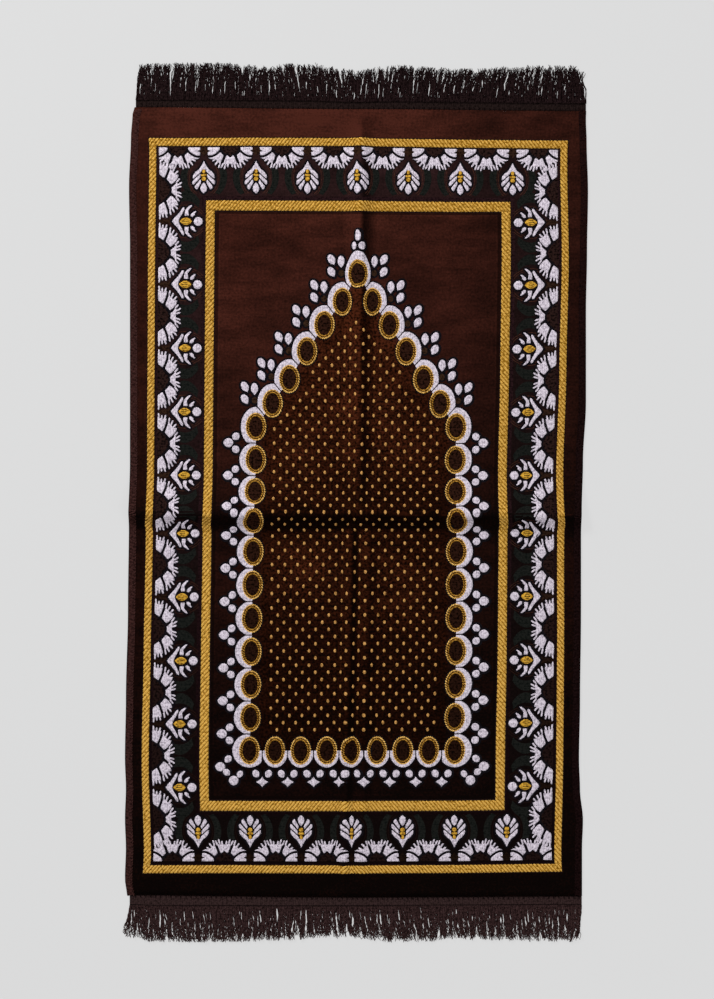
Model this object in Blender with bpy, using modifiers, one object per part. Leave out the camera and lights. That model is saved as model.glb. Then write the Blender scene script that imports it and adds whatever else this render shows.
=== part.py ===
"""A velvet prayer rug, opened out of its packet fold and lying flat on a floor.

Three pieces: the rug cloth with its turned side hems and the two fold creases
that stay in it, and a fringe at each end, which is a heading tape with yarns.
Metres, +Z up, +Y towards the arch's point. The origin is on the floor, at the
middle of the rug's box.
"""
import math
import random

import bpy

# The cloth
CLOTH_THICKNESS = 0.0024
HEM_THICKNESS = 0.0030
HEM_WIDTH = 0.009
PARTING = 0.0003

# The rug lies a little askew and its sides wander: one row for each stretch
# of the two selvedges, from the top end to the bottom end
SELVEDGES = (
    # along, left, right
    (0.517, -0.2905, 0.3010),
    (0.504, -0.2935, 0.3005),
    (0.475, -0.2955, 0.3015),
    (0.410, -0.2980, 0.3033),
    (0.331, -0.2967, 0.3020),
    (0.252, -0.2967, 0.3006),
    (0.134, -0.2967, 0.3006),
    (0.056, -0.2967, 0.2967),
    (-0.023, -0.2980, 0.2941),
    (-0.141, -0.2993, 0.2941),
    (-0.259, -0.3020, 0.2928),
    (-0.337, -0.3033, 0.2915),
    (-0.377, -0.3020, 0.2928),
    (-0.416, -0.3033, 0.2967),
    (-0.455, -0.3020, 0.2954),
    (-0.495, -0.3033, 0.2954),
    (-0.517, -0.3005, 0.2954),
)

# The cloth's two cut ends, where the fringes are sewn on
ENDS = (
    # across, top, bottom
    (-0.300, 0.5175, -0.5140),
    (0.000, 0.5150, -0.5170),
    (0.300, 0.5125, -0.5155),
)

# The fold across the rug stands up as a ridge from side to side, with a long
# gentle flank towards the top end and a short steep one towards the bottom
CROSS_CREASE = (
    # across, along, height
    (-0.300, -0.0130, 0.0130),
    (-0.120, -0.0155, 0.0150),
    (0.110, -0.0150, 0.0155),
    (0.300, -0.0175, 0.0125),
)
UPPER_FLANK = 0.060
LOWER_FLANK = 0.025
CREST_ROUNDING = 0.0025

# The fold along the rug is a ridge above the other fold and, because it was
# folded inside the first, a valley between two low swells below it
LONG_CREASE = (
    # along, across
    (0.520, 0.0060),
    (-0.015, 0.0030),
    (-0.520, -0.0065),
)
RIDGE_HEIGHT = 0.0080
RIDGE_REACH = 0.020
SWELLS = (
    # offset, height, reach
    (-0.0100, 0.0052, 0.0100),
    (0.0130, 0.0034, 0.0130),
)
CREASE_FADE = 0.060

# Where the sheet's grid lines run: beside the creases, and over the flat
ROWS_BY_CREASE = (-0.025, -0.019, -0.014, -0.0095, -0.0055, -0.0025, 0.0,
                  0.0025, 0.006, 0.012, 0.020, 0.030, 0.043, 0.060)
COLUMNS_BY_CREASE = (-0.026, -0.020, -0.015, -0.010, -0.0065, -0.003, 0.0,
                     0.003, 0.0065, 0.010, 0.015, 0.020, 0.026)
FLAT_COLUMNS = (0.10, 0.20)

# The fringes
STRANDS_PER_END = 140
TAPE_THICKNESS = 0.0018
STRAND_ROOT_SHARE = 0.74
STRAND_MIDDLE_SHARE = 0.66
STRAND_TIP_SHARE = 0.36
MIDDLE_LEAN_SHARE = 0.40
UNEVEN_REACH = 0.0022
UNEVEN_LEAN = 0.0004
HALF_LENGTH = 0.5758

# How far each fringe's heading tape and yarns reach, measured along the rug
# from its middle, and how far the yarns' tips lean to the right
TOP_FRINGE = (
    # across, tape, reach, lean
    (-0.2885, 0.5285, 0.5690, -0.0020),
    (-0.2680, 0.5285, 0.5740, 0.0020),
    (-0.1900, 0.5285, 0.5750, 0.0035),
    (-0.1250, 0.5280, 0.5690, -0.0010),
    (-0.0700, 0.5275, 0.5730, -0.0045),
    (0.0050, 0.5255, 0.5650, 0.0010),
    (0.0500, 0.5265, 0.5700, 0.0030),
    (0.1350, 0.5255, 0.5660, 0.0060),
    (0.2400, 0.5245, 0.5700, 0.0060),
    (0.2990, 0.5235, 0.5600, -0.0030),
)
BOTTOM_FRINGE = (
    # across, tape, reach, lean
    (-0.2970, -0.5290, -0.5670, -0.0035),
    (-0.2600, -0.5300, -0.5740, 0.0030),
    (-0.1900, -0.5300, -0.5750, 0.0040),
    (-0.0900, -0.5305, -0.5710, -0.0010),
    (-0.0250, -0.5305, -0.5670, 0.0025),
    (0.0500, -0.5300, -0.5735, 0.0040),
    (0.1400, -0.5295, -0.5700, 0.0030),
    (0.2300, -0.5290, -0.5720, 0.0020),
    (0.2940, -0.5285, -0.5700, -0.0015),
)


def ease(share):
    """0 to 1, level at both ends."""
    share = min(max(share, 0.0), 1.0)
    return share * share * (3 - 2 * share)


def read_table(table, place, column):
    """One column of a table at a place between two rows, eased from row to row."""
    rows = sorted(table)
    if place <= rows[0][0]:
        return rows[0][column]
    for low, high in zip(rows, rows[1:]):
        if place <= high[0]:
            share = ease((place - low[0]) / (high[0] - low[0]))
            return low[column] + (high[column] - low[column]) * share
    return rows[-1][column]


def fold_section(distance, height, reach):
    """A fold's section: a rounded crest whose flanks run out level on the floor."""
    run = math.hypot(distance, CREST_ROUNDING) - CREST_ROUNDING
    if run >= reach:
        return 0.0
    return height * (1 - run / reach) ** 2


def lift(x, y):
    """How high the cloth's underside stands off the floor."""
    off_cross = y - read_table(CROSS_CREASE, x, 1)
    flank = UPPER_FLANK if off_cross > 0 else LOWER_FLANK
    cross_fold = fold_section(off_cross, read_table(CROSS_CREASE, x, 2), flank)

    off_long = x - read_table(LONG_CREASE, y, 1)
    ridge = fold_section(off_long, RIDGE_HEIGHT, RIDGE_REACH)
    valley = sum(fold_section(off_long - offset, height, reach) for offset, height, reach in SWELLS)
    above = ease(1 + off_cross / LOWER_FLANK)
    to_end = min(read_table(ENDS, x, 1) - y, y - read_table(ENDS, x, 2))
    long_fold = (ridge * above + valley * (1 - above)) * ease(to_end / CREASE_FADE)
    return math.hypot(cross_fold, long_fold)


def make_material(name, colour, roughness):
    material = bpy.data.materials.new(name)
    material.use_nodes = True
    shader = material.node_tree.nodes["Principled BSDF"]
    shader.inputs["Base Color"].default_value = (*colour, 1.0)
    shader.inputs["Roughness"].default_value = roughness
    shader.inputs["Metallic"].default_value = 0.0
    return material


def cloth_rows():
    """The grid's lines across the rug, bottom end first, as functions of x."""
    flat = [row[0] for row in SELVEDGES[1:-1]]
    crest = read_table(CROSS_CREASE, 0.0, 1)
    rows = [lambda x: read_table(ENDS, x, 2)]
    for y in sorted(flat):
        if y < crest - 2 * LOWER_FLANK:
            rows.append(lambda x, y=y: y)
    for step in ROWS_BY_CREASE:
        rows.append(lambda x, step=step: read_table(CROSS_CREASE, x, 1) + step)
    for y in sorted(flat):
        if y > crest + 1.5 * UPPER_FLANK:
            rows.append(lambda x, y=y: y)
    rows.append(lambda x: read_table(ENDS, x, 1))
    return rows


def cloth_columns():
    """The grid's lines along the rug, left selvedge first, as functions of y."""
    columns = [
        lambda y: read_table(SELVEDGES, y, 1),
        lambda y: read_table(SELVEDGES, y, 1) + HEM_WIDTH,
    ]
    steps = sorted(-step for step in FLAT_COLUMNS) + list(COLUMNS_BY_CREASE) + list(FLAT_COLUMNS)
    for step in steps:
        columns.append(lambda y, step=step: read_table(LONG_CREASE, y, 1) + step)
    columns.append(lambda y: read_table(SELVEDGES, y, 2) - HEM_WIDTH)
    columns.append(lambda y: read_table(SELVEDGES, y, 2))
    return columns


def make_cloth(material):
    """The velvet: a grid on the rug's outline and creases, given its thickness."""
    rows = cloth_rows()
    columns = cloth_columns()
    bpy.ops.mesh.primitive_grid_add(x_subdivisions=len(columns) - 1, y_subdivisions=len(rows) - 1)
    cloth = bpy.context.active_object
    cloth.name = cloth.data.name = "cloth"
    cloth.data.materials.append(material)

    thickness = cloth.vertex_groups.new(name="thickness")
    hem_columns = (0, 1, len(columns) - 2, len(columns) - 1)
    for index, vertex in enumerate(cloth.data.vertices):
        row, column = divmod(index, len(columns))
        x = columns[column](rows[row](0.0))
        y = rows[row](x)
        vertex.co = (x, y, lift(x, y))
        share = 1.0 if column in hem_columns else CLOTH_THICKNESS / HEM_THICKNESS
        thickness.add([index], share, "REPLACE")

    solidify = cloth.modifiers.new("thickness", "SOLIDIFY")
    solidify.thickness = HEM_THICKNESS
    solidify.offset = 1.0
    solidify.vertex_group = thickness.name
    solidify.use_even_offset = True
    return cloth


def strand_outline(table, number, chance):
    """The outline of one yarn, from its root's left side to its root's right."""
    first, last = table[0][0], table[-1][0]
    pitch = (last - first) / STRANDS_PER_END
    root_x = first + pitch * (number + 0.5)
    tape_y = read_table(table, root_x, 1)
    reach = abs(read_table(table, root_x, 2)) + chance.uniform(-UNEVEN_REACH, UNEVEN_REACH)
    tip_y = math.copysign(min(reach, HALF_LENGTH), tape_y)
    lean = read_table(table, root_x, 3) + chance.uniform(-UNEVEN_LEAN, UNEVEN_LEAN)
    middle_x = root_x + lean * MIDDLE_LEAN_SHARE
    middle_y = (tape_y + tip_y) / 2
    root_half = pitch * STRAND_ROOT_SHARE / 2
    middle_half = pitch * STRAND_MIDDLE_SHARE / 2
    tip_half = pitch * STRAND_TIP_SHARE / 2
    return [
        (root_x - root_half, tape_y),
        (middle_x - middle_half, middle_y),
        (root_x + lean - tip_half, tip_y),
        (root_x + lean + tip_half, tip_y),
        (middle_x + middle_half, middle_y),
        (root_x + root_half, tape_y),
    ]


def make_fringe(name, table, end_column, seed, material):
    """A heading tape along one end of the cloth, with its yarns standing off it."""
    chance = random.Random(seed)
    left, right = table[0], table[-1]
    outline = [left[:2]]
    for number in range(STRANDS_PER_END):
        outline += strand_outline(table, number, chance)
    outline.append(right[:2])
    parting = math.copysign(PARTING, left[1])
    for x in (right[0], 0.0, left[0]):
        outline.append((x, read_table(ENDS, x, end_column) + parting))

    flat = bpy.data.curves.new(name, "CURVE")
    flat.dimensions = "2D"
    flat.fill_mode = "BOTH"
    flat.extrude = TAPE_THICKNESS / 2
    flat.materials.append(material)
    spline = flat.splines.new("POLY")
    spline.points.add(len(outline) - 1)
    for point, (x, y) in zip(spline.points, outline):
        point.co = (x, y, 0.0, 1.0)
    spline.use_cyclic_u = True
    fringe = bpy.data.objects.new(name, flat)
    fringe.location.z = TAPE_THICKNESS / 2
    return fringe


def main():
    for item in list(bpy.data.objects):
        bpy.data.objects.remove(item, do_unlink=True)
    rug = bpy.data.collections.new("prayer_rug")
    bpy.context.scene.collection.children.link(rug)

    velvet = make_material("velvet", (0.045, 0.014, 0.008), 0.85)
    yarn = make_material("fringe_yarn", (0.022, 0.013, 0.014), 0.80)
    cloth = make_cloth(velvet)
    for holder in list(cloth.users_collection):
        holder.objects.unlink(cloth)
    rug.objects.link(cloth)
    rug.objects.link(make_fringe("fringe_top", TOP_FRINGE, 1, 11, yarn))
    rug.objects.link(make_fringe("fringe_bottom", BOTTOM_FRINGE, 2, 12, yarn))


main()
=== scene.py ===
"""The looks of a velvet prayer rug that lies opened out on a floor.

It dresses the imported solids: the pile cloth with its two packet creases, the woven gold, white and
black figures, the overlocked side hems, and a fringe at each end. Metres, +Z up, +Y towards the
arch's point. Woven figures are drawn flat, as on the loom, and then laid over the creased cloth.
"""

import math
from contextlib import contextmanager

import bmesh
import bpy
import numpy as np
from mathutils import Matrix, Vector


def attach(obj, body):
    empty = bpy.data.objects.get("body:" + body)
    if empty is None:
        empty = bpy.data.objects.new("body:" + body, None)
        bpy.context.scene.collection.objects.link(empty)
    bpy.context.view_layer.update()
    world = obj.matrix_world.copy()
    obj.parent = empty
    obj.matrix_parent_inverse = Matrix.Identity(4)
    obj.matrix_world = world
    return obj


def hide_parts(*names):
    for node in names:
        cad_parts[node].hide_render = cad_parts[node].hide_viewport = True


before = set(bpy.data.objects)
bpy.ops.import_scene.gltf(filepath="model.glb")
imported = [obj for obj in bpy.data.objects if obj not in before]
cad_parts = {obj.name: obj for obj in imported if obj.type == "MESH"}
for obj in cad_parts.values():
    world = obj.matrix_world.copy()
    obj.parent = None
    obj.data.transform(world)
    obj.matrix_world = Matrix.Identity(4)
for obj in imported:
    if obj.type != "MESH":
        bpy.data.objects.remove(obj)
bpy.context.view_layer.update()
scene = bpy.context.scene


# ------------------------------------------------
# The floor, the light and the camera. The rug lies on a plain pale floor under soft studio light
# from the upper left, and the camera looks straight down on it.
# ------------------------------------------------

CAMERA_HEIGHT = 4.2
CAMERA_CENTRE = (0.00065, 0.0039)
VIEW_LENGTH = 1.3087  # how much of the floor the picture's long side takes in
SENSOR_LENGTH = 36.0
HALF_FLOOR = 7.0
FLOOR_GREY = 0.10
FLOOR_GLOW = 0.618  # keeps the floor evenly pale from edge to edge
SKY_COLOUR = (0.93, 0.96, 1.0, 1)
SKY_STRENGTH = 0.38

camera_data = bpy.data.cameras.new("camera")
camera_data.sensor_width = SENSOR_LENGTH
camera_data.lens = SENSOR_LENGTH * CAMERA_HEIGHT / VIEW_LENGTH
camera = bpy.data.objects.new("camera", camera_data)
camera.location = (*CAMERA_CENTRE, CAMERA_HEIGHT)
scene.collection.objects.link(camera)
scene.camera = camera
scene.view_settings.view_transform = "Standard"

floor_mesh = bpy.data.meshes.new("floor")
floor_corners = [(x * HALF_FLOOR, y * HALF_FLOOR, 0) for x, y in ((-1, -1), (1, -1), (1, 1), (-1, 1))]
floor_mesh.from_pydata(floor_corners, [], [(0, 1, 2, 3)])
floor = bpy.data.objects.new("floor", floor_mesh)
scene.collection.objects.link(floor)

floor_material = bpy.data.materials.new("floor_paint")
floor_material.use_nodes = True
paint = floor_material.node_tree.nodes["Principled BSDF"]
paint.inputs["Base Color"].default_value = (FLOOR_GREY, FLOOR_GREY, FLOOR_GREY, 1)
paint.inputs["Roughness"].default_value = 0.9
paint.inputs["Specular IOR Level"].default_value = 0.0
paint.inputs["Emission Color"].default_value = (1, 1, 1, 1)
paint.inputs["Emission Strength"].default_value = FLOOR_GLOW
floor_mesh.materials.append(floor_material)

for name, place, size, power in (("key_light", (-1.7, 2.3, 1.9), 1.0, 92.0),
                                 ("fill_light", (1.9, -1.2, 2.6), 2.4, 34.0)):
    lamp = bpy.data.lights.new(name, "AREA")
    lamp.shape = "SQUARE"
    lamp.size = size
    lamp.energy = power
    light = bpy.data.objects.new(name, lamp)
    light.location = place
    light.rotation_euler = Vector(place).to_track_quat("Z", "Y").to_euler()
    scene.collection.objects.link(light)

world = bpy.data.worlds.new("studio")
world.use_nodes = True
sky = world.node_tree.nodes["Background"]
sky.inputs["Color"].default_value = SKY_COLOUR
sky.inputs["Strength"].default_value = SKY_STRENGTH
scene.world = world


# ------------------------------------------------
# The rug cloth: one length of pile velvet, two sides turned in, lying on the floor. It was kept in
# a packet, folded once across and once along, and both creases still stand in it. The outline, the
# creases and the thickness are the solid's own.
# ------------------------------------------------

CLOTH_THICKNESS = 0.0024
HEM_THICKNESS = 0.0030
SELVEDGES = (
    # along, left, right
    (0.517, -0.2905, 0.3010), (0.504, -0.2935, 0.3005), (0.475, -0.2955, 0.3015),
    (0.410, -0.2980, 0.3033), (0.331, -0.2967, 0.3020), (0.252, -0.2967, 0.3006),
    (0.134, -0.2967, 0.3006), (0.056, -0.2967, 0.2967), (-0.023, -0.2980, 0.2941),
    (-0.141, -0.2993, 0.2941), (-0.259, -0.3020, 0.2928), (-0.337, -0.3033, 0.2915),
    (-0.377, -0.3020, 0.2928), (-0.416, -0.3033, 0.2967), (-0.455, -0.3020, 0.2954),
    (-0.495, -0.3033, 0.2954), (-0.517, -0.3005, 0.2954),
)
ENDS = (
    # across, top, bottom
    (-0.300, 0.5175, -0.5140), (0.000, 0.5150, -0.5170), (0.300, 0.5125, -0.5155),
)
CROSS_CREASE = (
    # across, along, height
    (-0.300, -0.0130, 0.0130), (-0.120, -0.0155, 0.0150),
    (0.110, -0.0150, 0.0155), (0.300, -0.0175, 0.0125),
)
LONG_CREASE = (
    # along, across
    (0.520, 0.0060), (-0.015, 0.0030), (-0.520, -0.0065),
)
UPPER_FLANK = 0.060
LOWER_FLANK = 0.025
CREST_ROUNDING = 0.0025
RIDGE_HEIGHT = 0.0080
RIDGE_REACH = 0.020
SWELLS = (
    # offset, height, reach
    (-0.0100, 0.0052, 0.0100), (0.0130, 0.0034, 0.0130),
)
CREASE_FADE = 0.060
RIPPLE_HEIGHT = 0.00035  # the slight unevenness of cloth that lies as it was opened
RIPPLE_RANGE = 5.4  # between the lowest and the highest sum of the waves
SLOPE_STEP = 0.0004


def ease(share):
    """0 to 1, level at both ends."""
    share = np.clip(share, 0.0, 1.0)
    return share * share * (3 - 2 * share)


def read_table(table, place, column):
    """One column of a table at places between its rows, eased from row to row."""
    rows = np.array(sorted(table))
    place = np.clip(place, rows[0, 0], rows[-1, 0])
    low = np.clip(np.searchsorted(rows[:, 0], place, side="right") - 1, 0, len(rows) - 2)
    share = ease((place - rows[low, 0]) / (rows[low + 1, 0] - rows[low, 0]))
    return rows[low, column] + (rows[low + 1, column] - rows[low, column]) * share


def fold_section(distance, height, reach):
    """A fold's section: a rounded crest whose flanks run out level on the floor."""
    run = np.hypot(distance, CREST_ROUNDING) - CREST_ROUNDING
    return height * np.clip(1 - run / reach, 0, None) ** 2


def lift(x, y):
    """How high the cloth's underside stands off the floor.

    The crease across is one ridge. The crease along is a ridge above it and two swells below it.
    """
    off_crest = y - read_table(CROSS_CREASE, x, 1)
    flank = np.where(off_crest > 0, UPPER_FLANK, LOWER_FLANK)
    return np.hypot(fold_section(off_crest, read_table(CROSS_CREASE, x, 2), flank), long_fold(x, y))


def long_fold(x, y):
    """How high the crease along the rug lifts it."""
    off_ridge = x - read_table(LONG_CREASE, y, 1)
    ridge = fold_section(off_ridge, RIDGE_HEIGHT, RIDGE_REACH)
    valley = sum(fold_section(off_ridge - offset, height, reach) for offset, height, reach in SWELLS)
    above = ease(1 + (y - read_table(CROSS_CREASE, x, 1)) / LOWER_FLANK)
    to_end = np.minimum(read_table(ENDS, x, 1) - y, y - read_table(ENDS, x, 2))
    return (ridge * above + valley * (1 - above)) * ease(to_end / CREASE_FADE)


def cloth_surface(x, y, height):
    """Where a point lies that is this high above the cloth's face, as an array of rows x, y, z."""
    slope_x = (lift(x + SLOPE_STEP, y) - lift(x - SLOPE_STEP, y)) / (2 * SLOPE_STEP)
    slope_y = (lift(x, y + SLOPE_STEP) - lift(x, y - SLOPE_STEP)) / (2 * SLOPE_STEP)
    rise = height / np.sqrt(1 + slope_x ** 2 + slope_y ** 2)
    waves = np.sin(x * 61 + 1.3 * np.sin(y * 23)) + np.sin(y * 47 + 1.7 * np.sin(x * 31 + 1.0))
    waves = waves + 0.7 * np.sin(x * 104 - y * 83 + 0.6)
    ripple = RIPPLE_HEIGHT * (0.5 + waves / RIPPLE_RANGE)
    return np.stack([x - slope_x * rise, y - slope_y * rise, lift(x, y) + ripple + rise], axis=-1)


# The cloth's length is used up by the creases. These tables turn a place on the floor into one on
# the flat cloth and back: along the rug by the cross crease, across it by the long one.
SKEW = 0.0094  # how much shorter the rug lies on its right than on its left, a metre
PATTERN_LEAN = 0.00822  # how far the pattern's middle line runs to the right, a metre
PATTERN_START = -0.00155
CREST_HEIGHT = 0.0148
TABLE_STEP = 0.0004
TABLE_REACH = 0.8
CREASE_SPAN = 0.04
TURNS_TO_SETTLE = 4  # how often a place on the floor is looked for again

cross_run = np.arange(-TABLE_REACH, TABLE_REACH + TABLE_STEP, TABLE_STEP)
cross_rise = fold_section(cross_run, CREST_HEIGHT, np.where(cross_run > 0, UPPER_FLANK, LOWER_FLANK))
cross_used = np.concatenate([[0], np.cumsum(np.hypot(np.diff(cross_run), np.diff(cross_rise)))])
cross_used -= np.interp(0, cross_run, cross_used)

level = np.arange(-0.535, 0.5351, 0.005)
long_run = np.arange(-CREASE_SPAN, CREASE_SPAN + TABLE_STEP / 2, TABLE_STEP)
long_rise = long_fold(read_table(LONG_CREASE, level, 1)[:, None] + long_run, level[:, None] + 0 * long_run)
long_used = np.cumsum(np.hypot(TABLE_STEP, np.diff(long_rise, axis=1)), axis=1)
long_used = np.concatenate([np.zeros((len(level), 1)), long_used], axis=1)
long_used -= long_used[:, [len(long_run) // 2]]
used_left = -long_used[:, 0] - CREASE_SPAN
used_right = long_used[:, -1] - CREASE_SPAN


def crease_on_cloth(y):
    """Where the long crease runs on the flat cloth, from the pattern's middle line."""
    centre = PATTERN_START + PATTERN_LEAN * y
    uneven = np.interp(y, level, used_left) - np.interp(y, level, used_right)
    return read_table(LONG_CREASE, y, 1) - centre + uneven / 2


def read_run(given, y, forward):
    """Distance along the cloth from the long crease for one along the floor, or the reverse."""
    place = np.clip((y - level[0]) / (level[1] - level[0]), 0, len(level) - 1.001)
    found = np.zeros_like(given)
    for row in range(len(level)):
        weight = np.clip(1 - np.abs(place - row), 0, None)
        near = weight > 0
        if near.any():
            low, high = (long_run, long_used[row]) if forward else (long_used[row], long_run)
            beyond = np.clip(given[near] - low[-1], 0, None) + np.clip(given[near] - low[0], None, 0)
            found[near] += weight[near] * (np.interp(given[near], low, high) + beyond)
    return found


DRIFT_COLUMNS = (-0.234, -0.140, -0.070, 0.0, 0.070, 0.136, 0.238)
DRIFT = (
    # along, then how many millimetres too far right the pattern lies in each column, and too far up
    (0.449, -0.5, 0.5, 0.0, -0.5, -0.2, 0.0, 1.0, 0.5, 1.5, 1.5, 1.5, 0.7, 0.0, -0.5),
    (0.311, -1.0, 0.5, 0.5, 0.5, 0.5, 0.5, 4.0, 2.0, 0.0, -0.2, -0.5, -0.2, 0.0, 2.5),
    (0.174, -0.5, 0.0, -0.2, -0.5, 0.2, 1.0, 2.0, 1.5, 0.3, 0.0, -0.6, 0.0, -0.2, 1.0),
    (0.036, 0.0, -0.5, 0.2, -1.0, -1.4, 0.5, -1.0, 0.5, 0.3, -1.2, -1.7, -1.9, 0.0, 0.5),
    (-0.056, -1.0, -1.5, -1.5, -1.0, 0.5, 1.5, 1.0, 1.0, 2.0, 1.7, 1.5, 1.7, 2.0, 1.5),
    (-0.193, -2.5, -1.5, -2.5, -1.5, 0.2, 0.5, 2.0, 0.0, 0.0, 0.2, 0.5, 0.5, 0.5, 0.0),
    (-0.331, -4.0, -1.0, -2.7, -2.0, -1.6, -2.0, 2.0, 0.4, -0.4, -0.9, -0.8, -1.0, -1.0, 0.8),
    (-0.468, 0.0, 0.0, -1.0, -1.0, -0.4, -0.5, 0.5, -0.2, -0.6, -1.1, -1.6, -1.6, -1.6, -0.6),
)
MILLIMETRE = 0.001


def drift(x, y):
    """How far the pattern has crept across and along, as the cloth settled a little out of true."""
    place = np.clip(x, DRIFT_COLUMNS[0], DRIFT_COLUMNS[-1])
    tents = [np.interp(place, DRIFT_COLUMNS, row) for row in np.eye(len(DRIFT_COLUMNS))]
    return [MILLIMETRE * sum(tent * read_table(DRIFT, y, first + column) for column, tent in enumerate(tents))
            for first in (1, 1 + len(DRIFT_COLUMNS))]


def unroll(x, y):
    """The place on the flat cloth, across and along, of a place on the floor."""
    across_drift, along_drift = drift(x, y)
    x, y = x - across_drift, y - along_drift
    crest = read_table(CROSS_CREASE, x, 1)
    along = (crest + np.interp(y - crest, cross_run, cross_used)) / (1 - SKEW * x)
    return crease_on_cloth(y) + read_run(x - read_table(LONG_CREASE, y, 1), y, True), along


def roll_out(across, along):
    """The place on the floor of a place on the flat cloth."""
    x, y = across, along
    for _ in range(TURNS_TO_SETTLE):
        crest = read_table(CROSS_CREASE, x, 1)
        y = crest + np.interp(along * (1 - SKEW * x) - crest, cross_used, cross_run)
        x = read_table(LONG_CREASE, y, 1) + read_run(across - crease_on_cloth(y), y, False)
    across_drift, along_drift = drift(x, y)
    return x + across_drift, y + along_drift


def set_flat_map(mesh, across, along):
    """The mesh's UV map: places on the flat cloth in metres, from the pattern's middle."""
    layer = mesh.uv_layers.new(name="flat")
    corners = np.empty(len(mesh.loops), int)
    mesh.loops.foreach_get("vertex_index", corners)
    layer.data.foreach_set("uv", np.stack([across[corners], along[corners]], axis=-1).ravel())


def graded(start, end, fine_from, fine_to):
    """Steps from start to end, fine between two places and coarse elsewhere."""
    parts = []
    for low, high, step in ((start, fine_from, COARSE), (fine_from, fine_to, FINE), (fine_to, end, COARSE)):
        parts.append(np.linspace(low, high, max(2, round((high - low) / step) + 1))[:-1])
    return np.concatenate(parts + [[end]])


FINE = 0.0014
COARSE = 0.0085
HEM_STEPS = np.array((0.0, 0.0004, 0.0012, 0.0025, 0.0060, 0.0082, 0.0090, 0.0102))
HEM_SHARES = (0.30, 0.72, 0.93, 1.0, 1.0, 0.93, 0.80, 0.80)  # of the hem's thickness, at these steps
HALF_GRID = 0.2880
FINE_BESIDE = 0.034  # how far the fine columns reach beside the long crease
CREST_MIDDLE = -0.0150
STRAIGHT = 0.1  # nearer the middle than this the rows follow the cross crease, and further out the ends
STRAIGHTENED = 0.3

# Painted shade: the velvet's colour is painted lighter where its pile leans from the light and darker where
# it leans towards it, so it darkens down the rug and to the right, and is painted almost black on the flanks
# that the creases turn away from the light.
PAINTED_PILE_SHADE = (
    # distance along from the cross crease, painted shade
    (0.530, 0.80), (0.420, 0.64), (0.300, 0.56), (0.150, 0.42), (0.085, 0.35), (0.045, 0.24),
    (0.012, 0.14), (0.004, 0.10), (-0.002, 0.020), (-0.016, 0.015), (-0.026, 0.11), (-0.060, 0.20),
    (-0.110, 0.18), (-0.180, 0.105), (-0.300, 0.050), (-0.500, 0.004),
)
PAINTED_SIDE_SHADE = (
    # distance across from the pattern's middle line, share of the painted shade
    (-0.300, 0.66), (-0.272, 0.70), (-0.255, 1.00), (0.030, 1.00),
    (0.120, 0.85), (0.180, 0.54), (0.300, 0.50),
)
TONE_STEP = 0.0006
SHADE_BY_SLOPE = 1.35
CREST_HIGHLIGHT_WIDTH = 0.0011

rows = graded(-0.5160, 0.5150, CREST_MIDDLE - 0.030, CREST_MIDDLE + 0.064)
columns = graded(-HALF_GRID, HALF_GRID, -0.030, FINE_BESIDE)[1:-1]
cloth_points = []
for row in rows:
    left_edge, right_edge = (float(read_table(SELVEDGES, row, side)) for side in (1, 2))
    long_crease = float(read_table(LONG_CREASE, row, 1))
    left_share = (long_crease - left_edge - HEM_STEPS[-1]) / HALF_GRID
    right_share = (right_edge - long_crease - HEM_STEPS[-1]) / HALF_GRID
    inside = columns * np.where(columns < 0, left_share, right_share)
    inside = np.where(np.abs(columns) < FINE_BESIDE, columns, inside) + long_crease
    x = np.concatenate([left_edge + HEM_STEPS, inside, right_edge - HEM_STEPS[::-1]])
    to_top = ease((row - STRAIGHT) / STRAIGHTENED)
    to_bottom = ease((-STRAIGHT - row) / STRAIGHTENED)
    y = (read_table(CROSS_CREASE, x, 1) + row - CREST_MIDDLE) * (1 - to_top - to_bottom)
    y += (read_table(ENDS, x, 1) - (rows[-1] - row)) * to_top
    y += (read_table(ENDS, x, 2) + (row - rows[0])) * to_bottom
    cloth_points.append(np.stack([x, y], axis=-1))

wide = len(cloth_points[0])
floor_x, floor_y = np.concatenate(cloth_points).T
corners = [row * wide + column for row in range(len(rows) - 1) for column in range(wide - 1)]
cloth_mesh = bpy.data.meshes.new("velvet_cloth")
cloth_mesh.from_pydata(cloth_surface(floor_x, floor_y, 0.0), [],
                       [(corner, corner + 1, corner + wide + 1, corner + wide) for corner in corners])
set_flat_map(cloth_mesh, *unroll(floor_x, floor_y))
cloth = bpy.data.objects.new("velvet_cloth", cloth_mesh)
scene.collection.objects.link(cloth)
cloth_mesh.shade_smooth()
thickness = cloth.vertex_groups.new(name="thickness")
shares = [*HEM_SHARES, *[CLOTH_THICKNESS / HEM_THICKNESS] * len(columns), *reversed(HEM_SHARES)] * len(rows)
for index, share in enumerate(shares):
    thickness.add([index], share, "REPLACE")
# Painted shade on the crease flanks that fall away to the right, away from the light
falls_right = (lift(floor_x - TONE_STEP, floor_y) - lift(floor_x + TONE_STEP, floor_y)) / (2 * TONE_STEP)
off_crest = floor_y - read_table(CROSS_CREASE, floor_x, 1)
painted_pile_shade = read_table(PAINTED_PILE_SHADE, off_crest, 1) * read_table(PAINTED_SIDE_SHADE, unroll(floor_x, floor_y)[0], 1)
painted_pile_shade *= np.clip(1 - SHADE_BY_SLOPE * falls_right, 0.05, 1.25)
# crest: a painted highlight along the cross crease's crest, where the raised pile catches the light
for label, values in (("painted_pile_shade", painted_pile_shade), ("crest", np.exp(-(off_crest / CREST_HIGHLIGHT_WIDTH) ** 2))):
    cloth_mesh.attributes.new(label, "FLOAT", "POINT").data.foreach_set("value", values)
solidify = cloth.modifiers.new("thickness", "SOLIDIFY")
solidify.thickness = HEM_THICKNESS
solidify.offset = 1.0
solidify.vertex_group = thickness.name


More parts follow.
